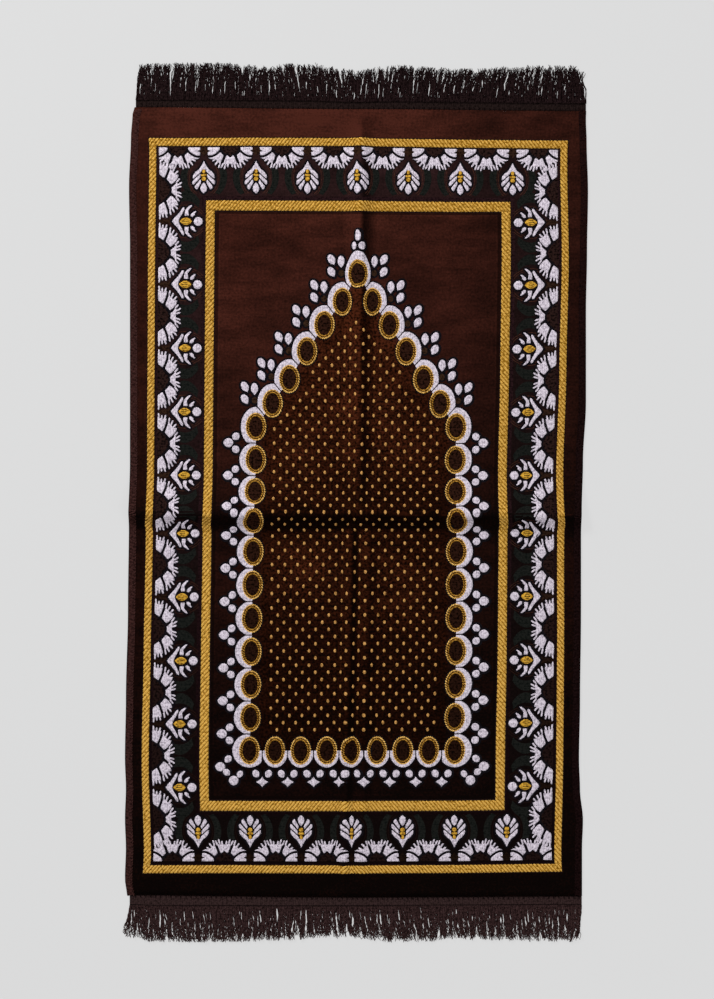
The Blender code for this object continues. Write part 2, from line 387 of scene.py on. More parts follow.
def add_node(tree, kind, inputs=None, **settings):
    """One node: settings are its properties, and inputs are values, or what gives them."""
    made = tree.nodes.new(kind)
    for key, value in settings.items():
        setattr(made, key, value)
    for key, value in (inputs or {}).items():
        if isinstance(value, bpy.types.Node):
            value = value.outputs[0]
        value = getattr(value, "socket", value)
        if isinstance(value, bpy.types.NodeSocket):
            tree.links.new(value, made.inputs[key])
        else:
            made.inputs[key].default_value = value
    return made


class Value:
    """A number that a node or its socket gives. What is worked out from it is made of more nodes."""

    def __init__(self, source):
        self.socket = source.outputs[0] if isinstance(source, bpy.types.Node) else source
        self.tree = source.id_data

    def math(self, operation, *others):
        inputs = dict(enumerate((self, *others)))
        return Value(add_node(self.tree, "ShaderNodeMath", inputs, operation=operation))

    def __add__(self, other):
        return self.math("ADD", other)

    def __sub__(self, other):
        return self.math("SUBTRACT", other)

    def __mul__(self, other):
        return self.math("MULTIPLY", other)

    def ramp(self, low, high):
        """0 below one value and 1 above another, smooth between."""
        inputs = {0: self, 1: low, 2: high}
        return Value(add_node(self.tree, "ShaderNodeMapRange", inputs, interpolation_type="SMOOTHSTEP"))


def split(tree, place):
    """The three parts of a place."""
    return [Value(part) for part in add_node(tree, "ShaderNodeSeparateXYZ", {0: place}).outputs]


def add_mix(tree, share, first, second):
    """A colour between two."""
    return add_node(tree, "ShaderNodeMix", {0: share, 6: first, 7: second}, data_type="RGBA").outputs[2]


def add_noise(tree, place, scale, detail=2.0, stretch=None):
    """A noise between 0 and 1, stretched along one axis where that is asked."""
    if stretch:
        place = add_node(tree, "ShaderNodeMapping", {"Vector": place, "Scale": stretch})
    return Value(add_node(tree, "ShaderNodeTexNoise", {"Vector": place, "Scale": scale, "Detail": detail}))


def new_material(name, roughness, gloss=0.0):
    """An empty cloth finish: the material, its tree, its shader and the flat map that it reads."""
    material = bpy.data.materials.new(name)
    material.use_nodes = True
    tree = material.node_tree
    shader = tree.nodes["Principled BSDF"]
    shader.inputs["Roughness"].default_value = roughness
    shader.inputs["Specular IOR Level"].default_value = gloss
    return material, tree, shader, add_node(tree, "ShaderNodeUVMap", uv_map="flat")


def finish_shader(tree, shader, colour, height, depth):
    """Feeds a colour and a bump's height into the shader."""
    bump = add_node(tree, "ShaderNodeBump", {"Height": height, "Distance": depth, "Strength": 1.0})
    tree.links.new(colour, shader.inputs["Base Color"])
    tree.links.new(bump.outputs[0], shader.inputs["Normal"])


ARCH_SLOPE = 0.64  # how fast the arch narrows above its columns
COLUMN_TOP = 0.1
ARCH_SIDE = (0.128, 0.120)  # where the arch's pile begins beside and below, and where it is full
ARCH_FOOT = (-0.335, -0.327)
GLOW_EDGE = (1.4, 0.5)
GLOW_RAGGED = 0.8
FRAME_MIDDLE = -0.0044  # of both gold frames, along the rug
GLOWS = (
    # across, along, half width, half length, gain: patches of pile brushed the other way
    (-0.060, -0.090, 0.050, 0.055, 0.9), (0.072, -0.125, 0.040, 0.050, 0.8),
    (0.000, -0.042, 0.060, 0.022, 1.0), (0.010, -0.185, 0.040, 0.030, 0.5),
    (-0.100, -0.060, 0.030, 0.030, 0.5),
)

velvet, tree, shader, flat_map = new_material("velvet", 0.85)
across, along, _ = split(tree, flat_map)
beside = across.math("ABSOLUTE")
off_middle = (along - FRAME_MIDDLE).math("ABSOLUTE")
# The painted pile shade and the painted crest highlight that the cloth's points carry; the noises below add
# the pile's own uneven tone
pile_shade_and_tone, crest = (Value(add_node(tree, "ShaderNodeAttribute", attribute_name=label).outputs["Fac"])
               for label in ("painted_pile_shade", "crest"))
clouds = add_noise(tree, flat_map, 11.0, 3.0, (0.8, 1.2, 1.0))
tufts = add_noise(tree, flat_map, 330.0)
wefts = add_noise(tree, flat_map, 260.0, 2.0, (0.16, 1.6, 1.0))
warps = add_noise(tree, flat_map, 260.0, 2.0, (1.6, 0.20, 1.0))
brushed = add_noise(tree, flat_map, 42.0, 3.0, (0.5, 1.3, 1.0))

# Inside the arch the pile glows in patches, and is more speckled
from_middle = (along - COLUMN_TOP).math("MAXIMUM", 0.0) * ARCH_SLOPE + beside
in_arch = from_middle.ramp(*ARCH_SIDE) * along.ramp(*ARCH_FOOT)
for glow_across, glow_along, half_width, half_length, gain in GLOWS:
    off_across = (across - glow_across) * (1 / half_width)
    off_along = (along - glow_along) * (1 / half_length)
    apart = (off_across * off_across + off_along * off_along).math("SQRT")
    pile_shade_and_tone = pile_shade_and_tone * ((brushed * GLOW_RAGGED + apart).ramp(*GLOW_EDGE) * in_arch * gain + 1.0)
pile_shade_and_tone = pile_shade_and_tone * (in_arch * along.ramp(0.02, -0.03) * 0.25 + 1.0)
pile_shade_and_tone = pile_shade_and_tone * (clouds.ramp(0.30, 0.70) * 0.50 + 0.75) * (brushed.ramp(0.25, 0.75) * 0.50 + 0.75)
pile_shade_and_tone = pile_shade_and_tone * (wefts * 0.60 + 0.70) * (warps * 0.50 + 0.75)
pile_shade_and_tone = pile_shade_and_tone * ((tufts - 0.5) * (in_arch * 2.10 + 0.60) * 2.2 + 1.0).math("MAXIMUM", 0.12)
pile_shade_and_tone = (pile_shade_and_tone + (tufts - 0.5) * 0.26 + (brushed - 0.5) * 0.16).math("MAXIMUM", 0.0)
# A painted highlight along the crest of the cross crease, mostly on the rug's right half
pile_shade_and_tone = pile_shade_and_tone + crest * brushed.ramp(0.50, 0.60) * across.ramp(-0.02, 0.10) * 0.45


def within(half_width, half_length, soft):
    """1 inside a rectangle about the frames' middle, and 0 outside."""
    return (beside.ramp(half_width + soft, half_width - soft)
            * off_middle.ramp(half_length + soft, half_length - soft))


# The border is darker than the field, and a dark strip and a lighter line run inside the inner frame
in_outer = within(0.2710, 0.4780, 0.0002)
in_inner = within(0.1950, 0.3950, 0.0002)
in_line = within(0.1832, 0.3832, 0.0004)
in_strip = within(0.1812, 0.3812, 0.0004)
pile_shade_and_tone = pile_shade_and_tone * ((in_line - in_strip) * 0.20 + (in_inner - in_line) * -0.55 + 1.0)
field_colour = add_mix(tree, pile_shade_and_tone, (0.0034, 0.0019, 0.0016, 1), (0.0600, 0.0155, 0.0098, 1))
arch_colour = add_mix(tree, pile_shade_and_tone, (0.0036, 0.0014, 0.0008, 1), (0.0640, 0.0150, 0.0058, 1))
border_colour = add_mix(tree, pile_shade_and_tone, (0.0044, 0.0026, 0.0024, 1), (0.0290, 0.0122, 0.0122, 1))
colour = add_mix(tree, in_arch, field_colour, arch_colour)
colour = add_mix(tree, in_outer - in_inner, colour, border_colour)
finish_shader(tree, shader, colour, wefts * 0.4 + warps * 0.4 + tufts, 0.0007)
cloth_mesh.materials.append(velvet)
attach(cloth, "root")
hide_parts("cloth")


# ------------------------------------------------
# The border's ground: between the two gold frames the pile is worked in darker threads, in curved
# bands round every palmette. They are in the same pile, so they hardly stand above it.
# ------------------------------------------------

SINK = 0.0003  # how deep a woven figure is set into the pile
CROSS_CUTS = (-0.025, -0.017, -0.011, -0.0065, -0.0030, 0.0, 0.0030, 0.0075, 0.015, 0.026, 0.040, 0.060)
LONG_CUTS = (-0.034, -0.027, -0.022, -0.0185, -0.0155, -0.013, -0.0105, -0.0085, -0.0065, -0.0045, -0.0025,
             -0.0005, 0.0015, 0.004, 0.006, 0.0085, 0.011, 0.014, 0.018, 0.026, 0.034)
LONG_CUT_START = 0.0045
LONG_CUT_NORMAL = (1, -0.0035, 0)


@contextmanager
def opened(mesh):
    """The mesh, open for cutting, and closed again afterwards."""
    work = bmesh.new()
    work.from_mesh(mesh)
    yield work
    work.to_mesh(mesh)
    work.free()


def cut(work, place, direction, **settings):
    """Cuts all faces at a plane."""
    parts = work.verts[:] + work.edges[:] + work.faces[:]
    return bmesh.ops.bisect_plane(work, geom=parts, plane_co=place, plane_no=direction, **settings)


def map_flat(mesh):
    """Gives a flat figure its UV map, and tells where its points are."""
    points = np.empty(len(mesh.vertices) * 3, np.float32)
    mesh.vertices.foreach_get("co", points)
    points = points.reshape(-1, 3).astype(float)
    while mesh.uv_layers:
        mesh.uv_layers.remove(mesh.uv_layers[0])
    set_flat_map(mesh, points[:, 0], points[:, 1])
    return points


def add_piece(name, mesh, material, smooth, node=None):
    """Makes a mesh a piece that goes with the rug, perhaps in a solid's place."""
    mesh.materials.clear()
    mesh.materials.append(material)
    if smooth:
        mesh.shade_smooth()
    piece = bpy.data.objects.new(name, mesh)
    scene.collection.objects.link(piece)
    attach(piece, "root")
    if node:
        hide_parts(node)


def lay_on_cloth(name, figure, material, smooth=False):
    """Lays a flat figure, a mesh or a shape, over the cloth, bent where the creases bend it."""
    mesh = shape_mesh(name, figure) if isinstance(figure, dict) else figure
    with opened(mesh) as work:
        for off in CROSS_CUTS:
            cut(work, (0, CREST_MIDDLE + off, 0), (0, 1, 0), dist=1e-6)
        for off in LONG_CUTS:
            cut(work, (off + LONG_CUT_START, 0, 0), LONG_CUT_NORMAL, dist=1e-6)
    points = map_flat(mesh)
    x, y = roll_out(points[:, 0], points[:, 1])
    mesh.vertices.foreach_set("co", cloth_surface(x, y, CLOTH_THICKNESS + points[:, 2]).ravel())
    mesh.update()
    add_piece(name, mesh, material, smooth)


def new_shape():
    """An empty figure: points with a height each, and faces."""
    return {"points": [], "faces": []}


def shape_mesh(name, shape):
    """The figure's mesh."""
    mesh = bpy.data.meshes.new(name)
    mesh.from_pydata(shape["points"], [], shape["faces"])
    mesh.validate()
    return mesh


def add_ribbon(shape, rails, heights, closed):
    """A solid band between rails, which are curves side by side, each with its own height."""
    first, size, count = len(shape["points"]), len(rails), len(rails[0])
    for rail, height in zip(rails, heights):
        shape["points"] += [(px, py, height) for px, py in rail]
    middle, ahead = rails[0][0], rails[0][1]
    aside = rails[1][0] if np.any(rails[1][0] != middle) else rails[2][0]
    turned = np.linalg.det((ahead - middle, aside - middle)) < 0
    faces = []
    for step in range(count if closed else count - 1):
        following = (step + 1) % count
        for side in range(size):
            low, high = first + side * count, first + (side + 1) % size * count
            faces.append((low + step, low + following, high + following, high + step))
    if not closed:
        faces.append([first + side * count for side in range(size)])
        faces.append([first + side * count + count - 1 for side in reversed(range(size))])
    shape["faces"] += [tuple(reversed(face)) if turned else tuple(face) for face in faces]


def oval(width, height, count, start=0.0, end=360.0, point=1.0):
    """Points of an oval from one angle to another, its upper end drawn out where point is over 1."""
    turn = np.radians(np.linspace(start, end, count, endpoint=(end - start) < 360))
    across = np.sign(np.cos(turn)) * np.abs(np.cos(turn)) ** np.where(np.sin(turn) > 0, point, 1.0)
    return np.stack([across * width, np.sin(turn) * height], axis=-1)


def new_tree(name, kind, inputs, outputs):
    """A node group with named sockets: its tree, what it is given, and where its results go."""
    tree = bpy.data.node_groups.new(name, kind)
    for way, sockets in (("INPUT", inputs), ("OUTPUT", outputs)):
        for socket_kind, labels in sockets.items():
            for label in labels:
                tree.interface.new_socket(label, in_out=way, socket_type="NodeSocket" + socket_kind)
    given = {socket.name: Value(socket) for socket in tree.nodes.new("NodeGroupInput").outputs}
    return tree, given, tree.nodes.new("NodeGroupOutput").inputs


def grain_group():
    """The ribbed look of woven threads: a height, and a tone that varies from thread to thread."""
    tree, given, result = new_tree(
        "thread_grain", "ShaderNodeTree",
        {"Vector": ["Place"], "Float": ["Threads Across", "Threads Along", "Unevenness"]},
        {"Float": ["Height", "Tone"]})
    across, along, _ = split(tree, given["Place"])
    wander = add_noise(tree, given["Place"], 240.0) * 5.0
    weft = (across * given["Threads Across"] * (2 * math.pi) + wander).math("SINE") * 0.5 + 0.5
    warp = (along * given["Threads Along"] * (2 * math.pi) + wander).math("SINE") * 0.5 + 0.5
    height = weft * 0.6 + warp * 0.4
    uneven = (add_noise(tree, given["Place"], 340.0) - 0.5) * given["Unevenness"] * 1.8
    tree.links.new((height + uneven).socket, result["Height"])
    tree.links.new((height * 0.35 + 0.72 + uneven).socket, result["Tone"])
    return tree


thread_grain = grain_group()
# Painted light and shade down the rug: full at the foot, gone above the second number, along the rug
PAINTED_LIGHT_REACH = (-0.45, 0.15)  # along the rug


def thread(name, dark, light, uneven, across=600, along=420, depth=0.0003,
           roughness=0.75, gloss=0.0, painted_foot_light=1.0):
    """A yarn finish: its two colours, how uneven it is and its threads a metre each way.

    Painted foot light is how strong the light colour still is at the rug's foot: painted shade where it is
    under 1, as pile leans away from the light there and looks darker, and painted light where it is over 1,
    as shiny yarn lies towards the light and looks brighter.
    """
    material, tree, shader, flat_map = new_material(name, roughness, gloss)
    inputs = {"Place": flat_map, "Threads Across": across, "Threads Along": along, "Unevenness": uneven}
    grain = add_node(tree, "ShaderNodeGroup", inputs, node_tree=thread_grain)
    share = Value(grain.outputs["Tone"]).ramp(0.45, 1.15)
    # Painted light and shade: the light colour's share is scaled towards the rug's foot
    if painted_foot_light != 1.0:
        share = share * (split(tree, flat_map)[1].ramp(*PAINTED_LIGHT_REACH) * (1.0 - painted_foot_light) + painted_foot_light)
    colour = add_mix(tree, share, (*dark, 1), (*light, 1))
    finish_shader(tree, shader, colour, grain.outputs["Height"], depth)
    return material


# The border is laid out from the outer frame's outline on the flat cloth
OUTER_HALF_WIDTH = 0.2756
OUTER_HALF_LENGTH = 0.4828
ACROSS_PITCH = 0.0678
ALONG_PITCH = 0.0828
FOOT_SHIFT = 0.0012  # how much further in the figures at the rug's foot stand


def border_places(count_across, count_along, rise):
    """Where a motif stands along the four sides, with the turn that points it out of the rug."""
    places = []
    for number in range(count_across):
        across = (number - (count_across - 1) / 2) * ACROSS_PITCH
        places.append((across, FRAME_MIDDLE + OUTER_HALF_LENGTH - rise[0], 0.0))
        places.append((across, FRAME_MIDDLE - OUTER_HALF_LENGTH + rise[0] + FOOT_SHIFT, math.pi))
    for number in range(count_along):
        along = FRAME_MIDDLE + (number - (count_along - 1) / 2) * ALONG_PITCH
        places.append((-OUTER_HALF_WIDTH + rise[1], along, math.pi / 2))
        places.append((OUTER_HALF_WIDTH - rise[1], along, -math.pi / 2))
    return places


def turned_to(points, place):
    """Points drawn with the rug's edge upwards, put at a place along the border."""
    across, along, turn = place
    return np.stack([across + points[:, 0] * math.cos(turn) - points[:, 1] * math.sin(turn),
                     along + points[:, 0] * math.sin(turn) + points[:, 1] * math.cos(turn)], axis=-1)


black_thread = thread("black_thread", (0.0028, 0.0022, 0.0030), (0.0085, 0.0070, 0.0090), 0.8)
green_thread = thread("green_thread", (0.0036, 0.0048, 0.0042), (0.0125, 0.0130, 0.0112), 0.9)
brown_thread = thread("brown_thread", (0.0070, 0.0036, 0.0030), (0.0640, 0.0235, 0.0150), 0.7, painted_foot_light=0.12)

PALMETTE_MIDDLE = (0.0520, 0.0500)  # from the outer frame's edge, at the ends and along the sides
ARCS = (
    # half width and half height of the near and of the far edge, half angle
    ((0.0183, 0.0235), (0.0192, 0.0244), 62),
    ((0.0209, 0.0262), (0.0218, 0.0271), 56),
)
END_CRESCENT = ((0.0212, 0.0276), (0.0302, 0.0306), 48)
SIDE_CRESCENT = ((0.0270, 0.0210), (0.0404, 0.0236), 48)
ARC_RISE = 0.00006
CRESCENT_RISE = 0.00008
ARC_STEPS = 15

brown_arcs, green_crescents = new_shape(), new_shape()
for place in border_places(7, 10, PALMETTE_MIDDLE):
    crescent = END_CRESCENT if place[2] in (0.0, math.pi) else SIDE_CRESCENT
    for shape, bands, rise in ((brown_arcs, ARCS, ARC_RISE), (green_crescents, [crescent], CRESCENT_RISE)):
        for side in (0, 180):
            for near, far, spread in bands:
                rails = [turned_to(oval(*size, ARC_STEPS, side - spread, side + spread), place)
                         for size in (near, near, far, far)]
                add_ribbon(shape, rails, (-SINK, rise, rise, -SINK), False)
lay_on_cloth("border_arcs", brown_arcs, brown_thread)
lay_on_cloth("border_crescents", green_crescents, green_thread)


# ------------------------------------------------
# The two gold frames: bands of thick gold yarn laid in slanting ribs over a darker gold ground,
# with a black thread along each edge. The slant changes sides at the rug's middle line.
# ------------------------------------------------

FRAMES = (
    # half width, low end, high end, band at the ends, band at the sides
    (0.2746, -0.4885, 0.4776, 0.0103, 0.0091),
    (0.2000, -0.4073, 0.3960, 0.0130, 0.0114),
)
FRAME_STEPS = 83  # along each side
GROUND_RISE = 0.00045
BAND_SECTION = ((0.0, -SINK), (0.06, GROUND_RISE), (0.94, GROUND_RISE), (1.0, -SINK))  # share of it, height
EDGING_SECTION = ((-0.15, -SINK), (-0.11, 0.00015), (1.11, 0.00015), (1.15, -SINK))
RIBS = (
    # pitch, width: first in the bands across the rug, then in those along it
    (0.00480, 0.0029),
    (0.00615, 0.0034),
)
RIB_SLANT = math.radians(40)  # between a rib and the rug's long side
RIB_HEIGHT = 0.0015
RIB_OVERLENGTH = 1.5  # so that what is cut off square is still thick
STRIPS = (
    # frame, how far in from its outline, width
    (FRAMES[0], 0.0108, 0.0030),
    (FRAMES[1], -0.0058, 0.0046),
)
STRIP_RISE = 0.00005
STRIP_EDGE = 0.0002
SHINY = {"across": 900, "along": 900, "depth": 0.0002, "roughness": 0.50}


def rectangle(frame_row, inset_across, inset_along):
    """A frame's outer outline moved inwards, in short steps."""
    half_width, low, high = np.array(frame_row[:3]) + (-inset_across, inset_along, -inset_along)
    corners = np.array(((-half_width, low), (half_width, low), (half_width, high), (-half_width, high)))
    shares = np.arange(FRAME_STEPS)[:, None] / FRAME_STEPS
    sides = zip(corners, np.roll(corners, -1, axis=0))
    return np.concatenate([start + (end - start) * shares for start, end in sides])


def superoval_mesh(name, sides, rings, fullness):
    """A rounded grain one unit long, wide and high, blunter at its ends the less its fullness."""
    points = [(0, -0.5, 0)]
    faces = []
    for ring in range(1, rings):
        slope = math.pi * ring / rings
        along = -0.5 * math.copysign(abs(math.cos(slope)) ** 0.8, math.cos(slope))
        radius = 0.5 * math.sin(slope) ** fullness
        for side in range(sides):
            turn = 2 * math.pi * side / sides
            points.append((radius * math.cos(turn), along, radius * math.sin(turn)))
    points.append((0, 0.5, 0))
    last = 1 + (rings - 2) * sides
    for side in range(sides):
        other = (side + 1) % sides
        faces.append((0, 1 + side, 1 + other))
        for low in range(1, last, sides):
            faces.append((low + side, low + sides + side, low + sides + other, low + other))
        faces.append((last + side, len(points) - 1, last + other))
    mesh = bpy.data.meshes.new(name)
    mesh.from_pydata(points, [], faces)
    with opened(mesh) as work:
        bmesh.ops.recalc_face_normals(work, faces=work.faces)
    return mesh


def attribute(tree, label):
    """A number that every point of the mesh carries."""
    return Value(add_node(tree, "GeometryNodeInputNamedAttribute", {"Name": label}, data_type="FLOAT"))


def copies_tree():
    """Sets a motif at every point of a mesh, turned by its 'turn' and lengthened by its 'stretch'."""
    tree, given, result = new_tree(
        "copies_at_places", "GeometryNodeTree",
        {"Geometry": ["Places"], "Object": ["Motif"], "Material": ["Material"],
         "Float": ["Width", "Length", "Height", "Rise"]},
        {"Geometry": ["Figure"]})
    motif = add_node(tree, "GeometryNodeObjectInfo", {"Object": given["Motif"]}).outputs["Geometry"]
    turn = add_node(tree, "ShaderNodeCombineXYZ", {2: attribute(tree, "turn")})
    length = given["Length"] * attribute(tree, "stretch")
    scale = add_node(tree, "ShaderNodeCombineXYZ", {0: given["Width"], 1: length, 2: given["Height"]})
    rise = add_node(tree, "ShaderNodeCombineXYZ", {2: given["Rise"]})
    raised = add_node(tree, "GeometryNodeSetPosition", {"Geometry": given["Places"], "Offset": rise})
    placed = add_node(tree, "GeometryNodeInstanceOnPoints",
                      {"Points": raised, "Instance": motif, "Rotation": turn, "Scale": scale})
    real = add_node(tree, "GeometryNodeRealizeInstances", {0: placed})
    done = add_node(tree, "GeometryNodeSetMaterial", {"Geometry": real, "Material": given["Material"]})
    tree.links.new(done.outputs[0], result["Figure"])
    return tree


set_copies = copies_tree()


def run_tree(places, facts, tree, values):
    """Runs a node tree on points that carry facts, and gives the plain mesh."""
    mesh = bpy.data.meshes.new("places")
    mesh.from_pydata(places, [], [])
    for label, fact in facts.items():
        mesh.attributes.new(label, "FLOAT", "POINT").data.foreach_set("value", fact)
    holder = bpy.data.objects.new("holder", mesh)
    scene.collection.objects.link(holder)
    modifier = holder.modifiers.new("tree", "NODES")
    modifier.node_group = tree
    for socket in tree.interface.items_tree:
        if socket.name in values and socket.in_out == "INPUT":
            modifier[socket.identifier] = values[socket.name]
    evaluated = holder.evaluated_get(bpy.context.evaluated_depsgraph_get())
    grown = bpy.data.meshes.new_from_object(evaluated)
    holder.modifiers.remove(modifier)
    bpy.data.objects.remove(holder)
    return grown


def set_at(places, motif_mesh, material, size=(1.0, 1.0, 1.0), rise=0.0):
    """Copies of a motif at places, each an across, an along, a turn and perhaps a stretch."""
    facts = {"turn": [place[2] for place in places],
             "stretch": [place[3] if len(place) > 3 else 1.0 for place in places]}
    motif = bpy.data.objects.new("motif", motif_mesh)
    scene.collection.objects.link(motif)
    made = run_tree([(place[0], place[1], 0) for place in places], facts, set_copies,
                    {"Motif": motif, "Material": material, "Width": size[0], "Length": size[1],
                     "Height": size[2], "Rise": rise})
    bpy.data.objects.remove(motif)
    return made


def joined(name, meshes):
    """One mesh of several."""
    made = bpy.data.meshes.new(name)
    with opened(made) as work:
        for mesh in meshes:
            work.from_mesh(mesh)
    return made


def keep_within(mesh, low, high):
    """Cuts a flat figure off beyond a rectangle, and closes the cuts."""
    with opened(mesh) as work:
        for place, direction in ((low, (-1, 0, 0)), (low, (0, -1, 0)), (high, (1, 0, 0)), (high, (0, 1, 0))):
            made = cut(work, (*place, 0), direction, clear_outer=True, dist=1e-7)
            edges = [part for part in made["geom_cut"] if isinstance(part, bmesh.types.BMEdge)]
            bmesh.ops.holes_fill(work, edges=edges, sides=0)


def add_ribs(low, high, axis, side):
    """Ribs over a straight band that runs along one axis, cut off square at its edges."""
    pitch, width = RIBS[axis]
    reach = int((high[axis] - low[axis]) / pitch / 2) + 4
    places = []
    for number in range(-reach, reach + 1):
        place = [(low[0] + high[0]) / 2, (low[1] + high[1]) / 2, side * RIB_SLANT]
        place[axis] += number * pitch
        places.append(place)
    length = (high[1 - axis] - low[1 - axis]) / (math.sin(RIB_SLANT) if axis else math.cos(RIB_SLANT))
    row = set_at(places, rib, light_gold, (width, length * RIB_OVERLENGTH, RIB_HEIGHT), GROUND_RISE)
    keep_within(row, low, high)
    rib_rows.append(row)


dark_gold = thread("dark_gold", (0.140, 0.058, 0.0015), (0.360, 0.160, 0.004), 0.5, 500, 500, painted_foot_light=1.5)
light_gold = thread("light_gold", (0.225, 0.096, 0.0015), (0.740, 0.425, 0.088), 1.2, **SHINY, painted_foot_light=1.6)
edging_thread = thread("edging_thread", (0.0060, 0.0034, 0.0034), (0.0200, 0.0100, 0.0096), 0.8)
purple_thread = thread("purple_thread", (0.0044, 0.0020, 0.0022), (0.0220, 0.0088, 0.0100), 0.9, painted_foot_light=0.15)
gold_ground, frame_edging, pile_strips = new_shape(), new_shape(), new_shape()
rib = superoval_mesh("rib", 8, 5, 0.40)
rib_rows = []
for frame_row in FRAMES:
    half_width, bottom, top, end_band, side_band = frame_row
    for shape, section in ((gold_ground, BAND_SECTION), (frame_edging, EDGING_SECTION)):
        rails = [rectangle(frame_row, side_band * share, end_band * share) for share, _ in section]
        add_ribbon(shape, rails, [height for _, height in section], True)
    for side in (-1, 1):
        left, right = sorted((side * half_width, side * (half_width - side_band)))
        add_ribs((left, bottom + end_band), (right, top - end_band), 1, side)
        left, right = sorted((side * half_width, 0))
        for low, high in ((bottom, bottom + end_band), (top - end_band, top)):
            add_ribs((left, low), (right, high), 0, side)
lay_on_cloth("frame_edging", frame_edging, edging_thread)
lay_on_cloth("gold_ground", gold_ground, dark_gold)
lay_on_cloth("gold_ribs", joined("gold_ribs", rib_rows), light_gold, smooth=True)

# Strips of purplish pile lie beside the frames
for frame_row, inset, width in STRIPS:
    rails = [rectangle(frame_row, inset + step, inset + step)
             for step in (0.0, STRIP_EDGE, width, width + STRIP_EDGE)]
    add_ribbon(pile_strips, rails, (-SINK, STRIP_RISE, STRIP_RISE, -SINK), True)
lay_on_cloth("pile_strips", pile_strips, purple_thread)


# ------------------------------------------------
# The arch: a closed chain of gold rings, each with a white scallop on its outer side, and groups
# of three white drops in the cusps between the scallops. White and gold are long soft yarns
# brought up out of the pile, and a black thread goes round every white figure.
# ------------------------------------------------

POINT_RING = (0.0, 0.3022)
SLOPE_RINGS = (
    # across, along, on the arch's slope from its point down
    (0.0207, 0.2656), (0.0443, 0.2349), (0.0666, 0.2003),
    (0.0893, 0.1638), (0.1112, 0.1317), (0.1324, 0.1012),
)
COLUMN_RINGS = 10
COLUMN_PITCH = 0.04297
COLUMN_START = 0.1318
COLUMN_SPREAD = 0.0004  # how much further out each ring of a column stands than the one above it
FOOT_PITCH = 0.0341
FOOT_REACH = 4  # rings of the foot to each side of its middle
HOLE = np.array((0.0085, 0.0129))  # half width and half height of a ring's eye, and of the ring
RING = np.array((0.0138, 0.0187))
SCALLOPS = {
    # half width, half height, of the oval that a scallop fills round its ring
    "point": (0.0180, 0.0240),
    "slope": (0.0200, 0.0260),
    "column": (0.0216, 0.0226),
    "corner": (0.0223, 0.0223),
    "foot": (0.0178, 0.0223),
}
SCALLOP_STEPS = 44
SCALLOP_SHARES = (0.0, 0.10, 0.5, 0.90, 1.0)
SCALLOP_TUCK = 0.0014  # how far a scallop reaches under its ring
POINT_RISE = 0.0064  # how far the topmost scallop is drawn out, and over what angle
POINT_ANGLE = 0.42
WHITE_RISE = 0.0009
BLACK_RISE = 0.0002
BLACK_WIDTH = 0.0017
CUSP_GAP = 0.0004
LEAST_WHITE = 0.0004  # the narrowest that a scallop and its black edge get beside a cusp
LEAST_BLACK = 0.0001
UNDERLAP = 0.0003  # how far the black edge reaches under the white

foot_along = SLOPE_RINGS[-1][1] - COLUMN_RINGS * COLUMN_PITCH
right_side = [(*ring, "slope") for ring in SLOPE_RINGS]
for number in range(1, COLUMN_RINGS):
    along = SLOPE_RINGS[-1][1] - number * COLUMN_PITCH
    right_side.append((COLUMN_START + COLUMN_SPREAD * number, along, "column"))
foot = [(number * FOOT_PITCH, foot_along, "corner" if abs(number) == FOOT_REACH else "foot")
        for number in range(FOOT_REACH, -FOOT_REACH - 1, -1)]
left_side = [(-across, along, kind) for across, along, kind in reversed(right_side)]
rings = [(*POINT_RING, "point")] + right_side + foot + left_side
white_yarn = thread("white_yarn", (0.33, 0.285, 0.335), (0.80, 0.710, 0.79), 0.95, 420, 900, 0.0004,
                    roughness=0.85, gloss=0.05)


def oval_reach(turn, width, height):
    """How far an oval's edge lies from its middle in some directions."""
    return 1 / np.hypot(np.cos(turn) / width, np.sin(turn) / height)


def cut_by_neighbours(turn, reach, size, centre, neighbours, gap):
    """Shortens rays from a ring's centre where the ovals of its neighbours meet its own."""
    ray = np.stack([np.cos(turn) / size[0], np.sin(turn) / size[1]])
    for other in neighbours:
        apart = np.array([(other[0] - centre[0]) / size[0], (other[1] - centre[1]) / size[1]])
        toward = apart @ ray
        limit = np.where(toward > 1e-6, (apart @ apart) / 2 / np.maximum(toward, 1e-6), 9.0)
        reach = np.minimum(reach, limit - gap)
    return reach


def rays(centre, turn, reach):
    """Points at the ends of rays from a centre."""
    return np.stack([centre[0] + reach * np.cos(turn), centre[1] + reach * np.sin(turn)], axis=-1)


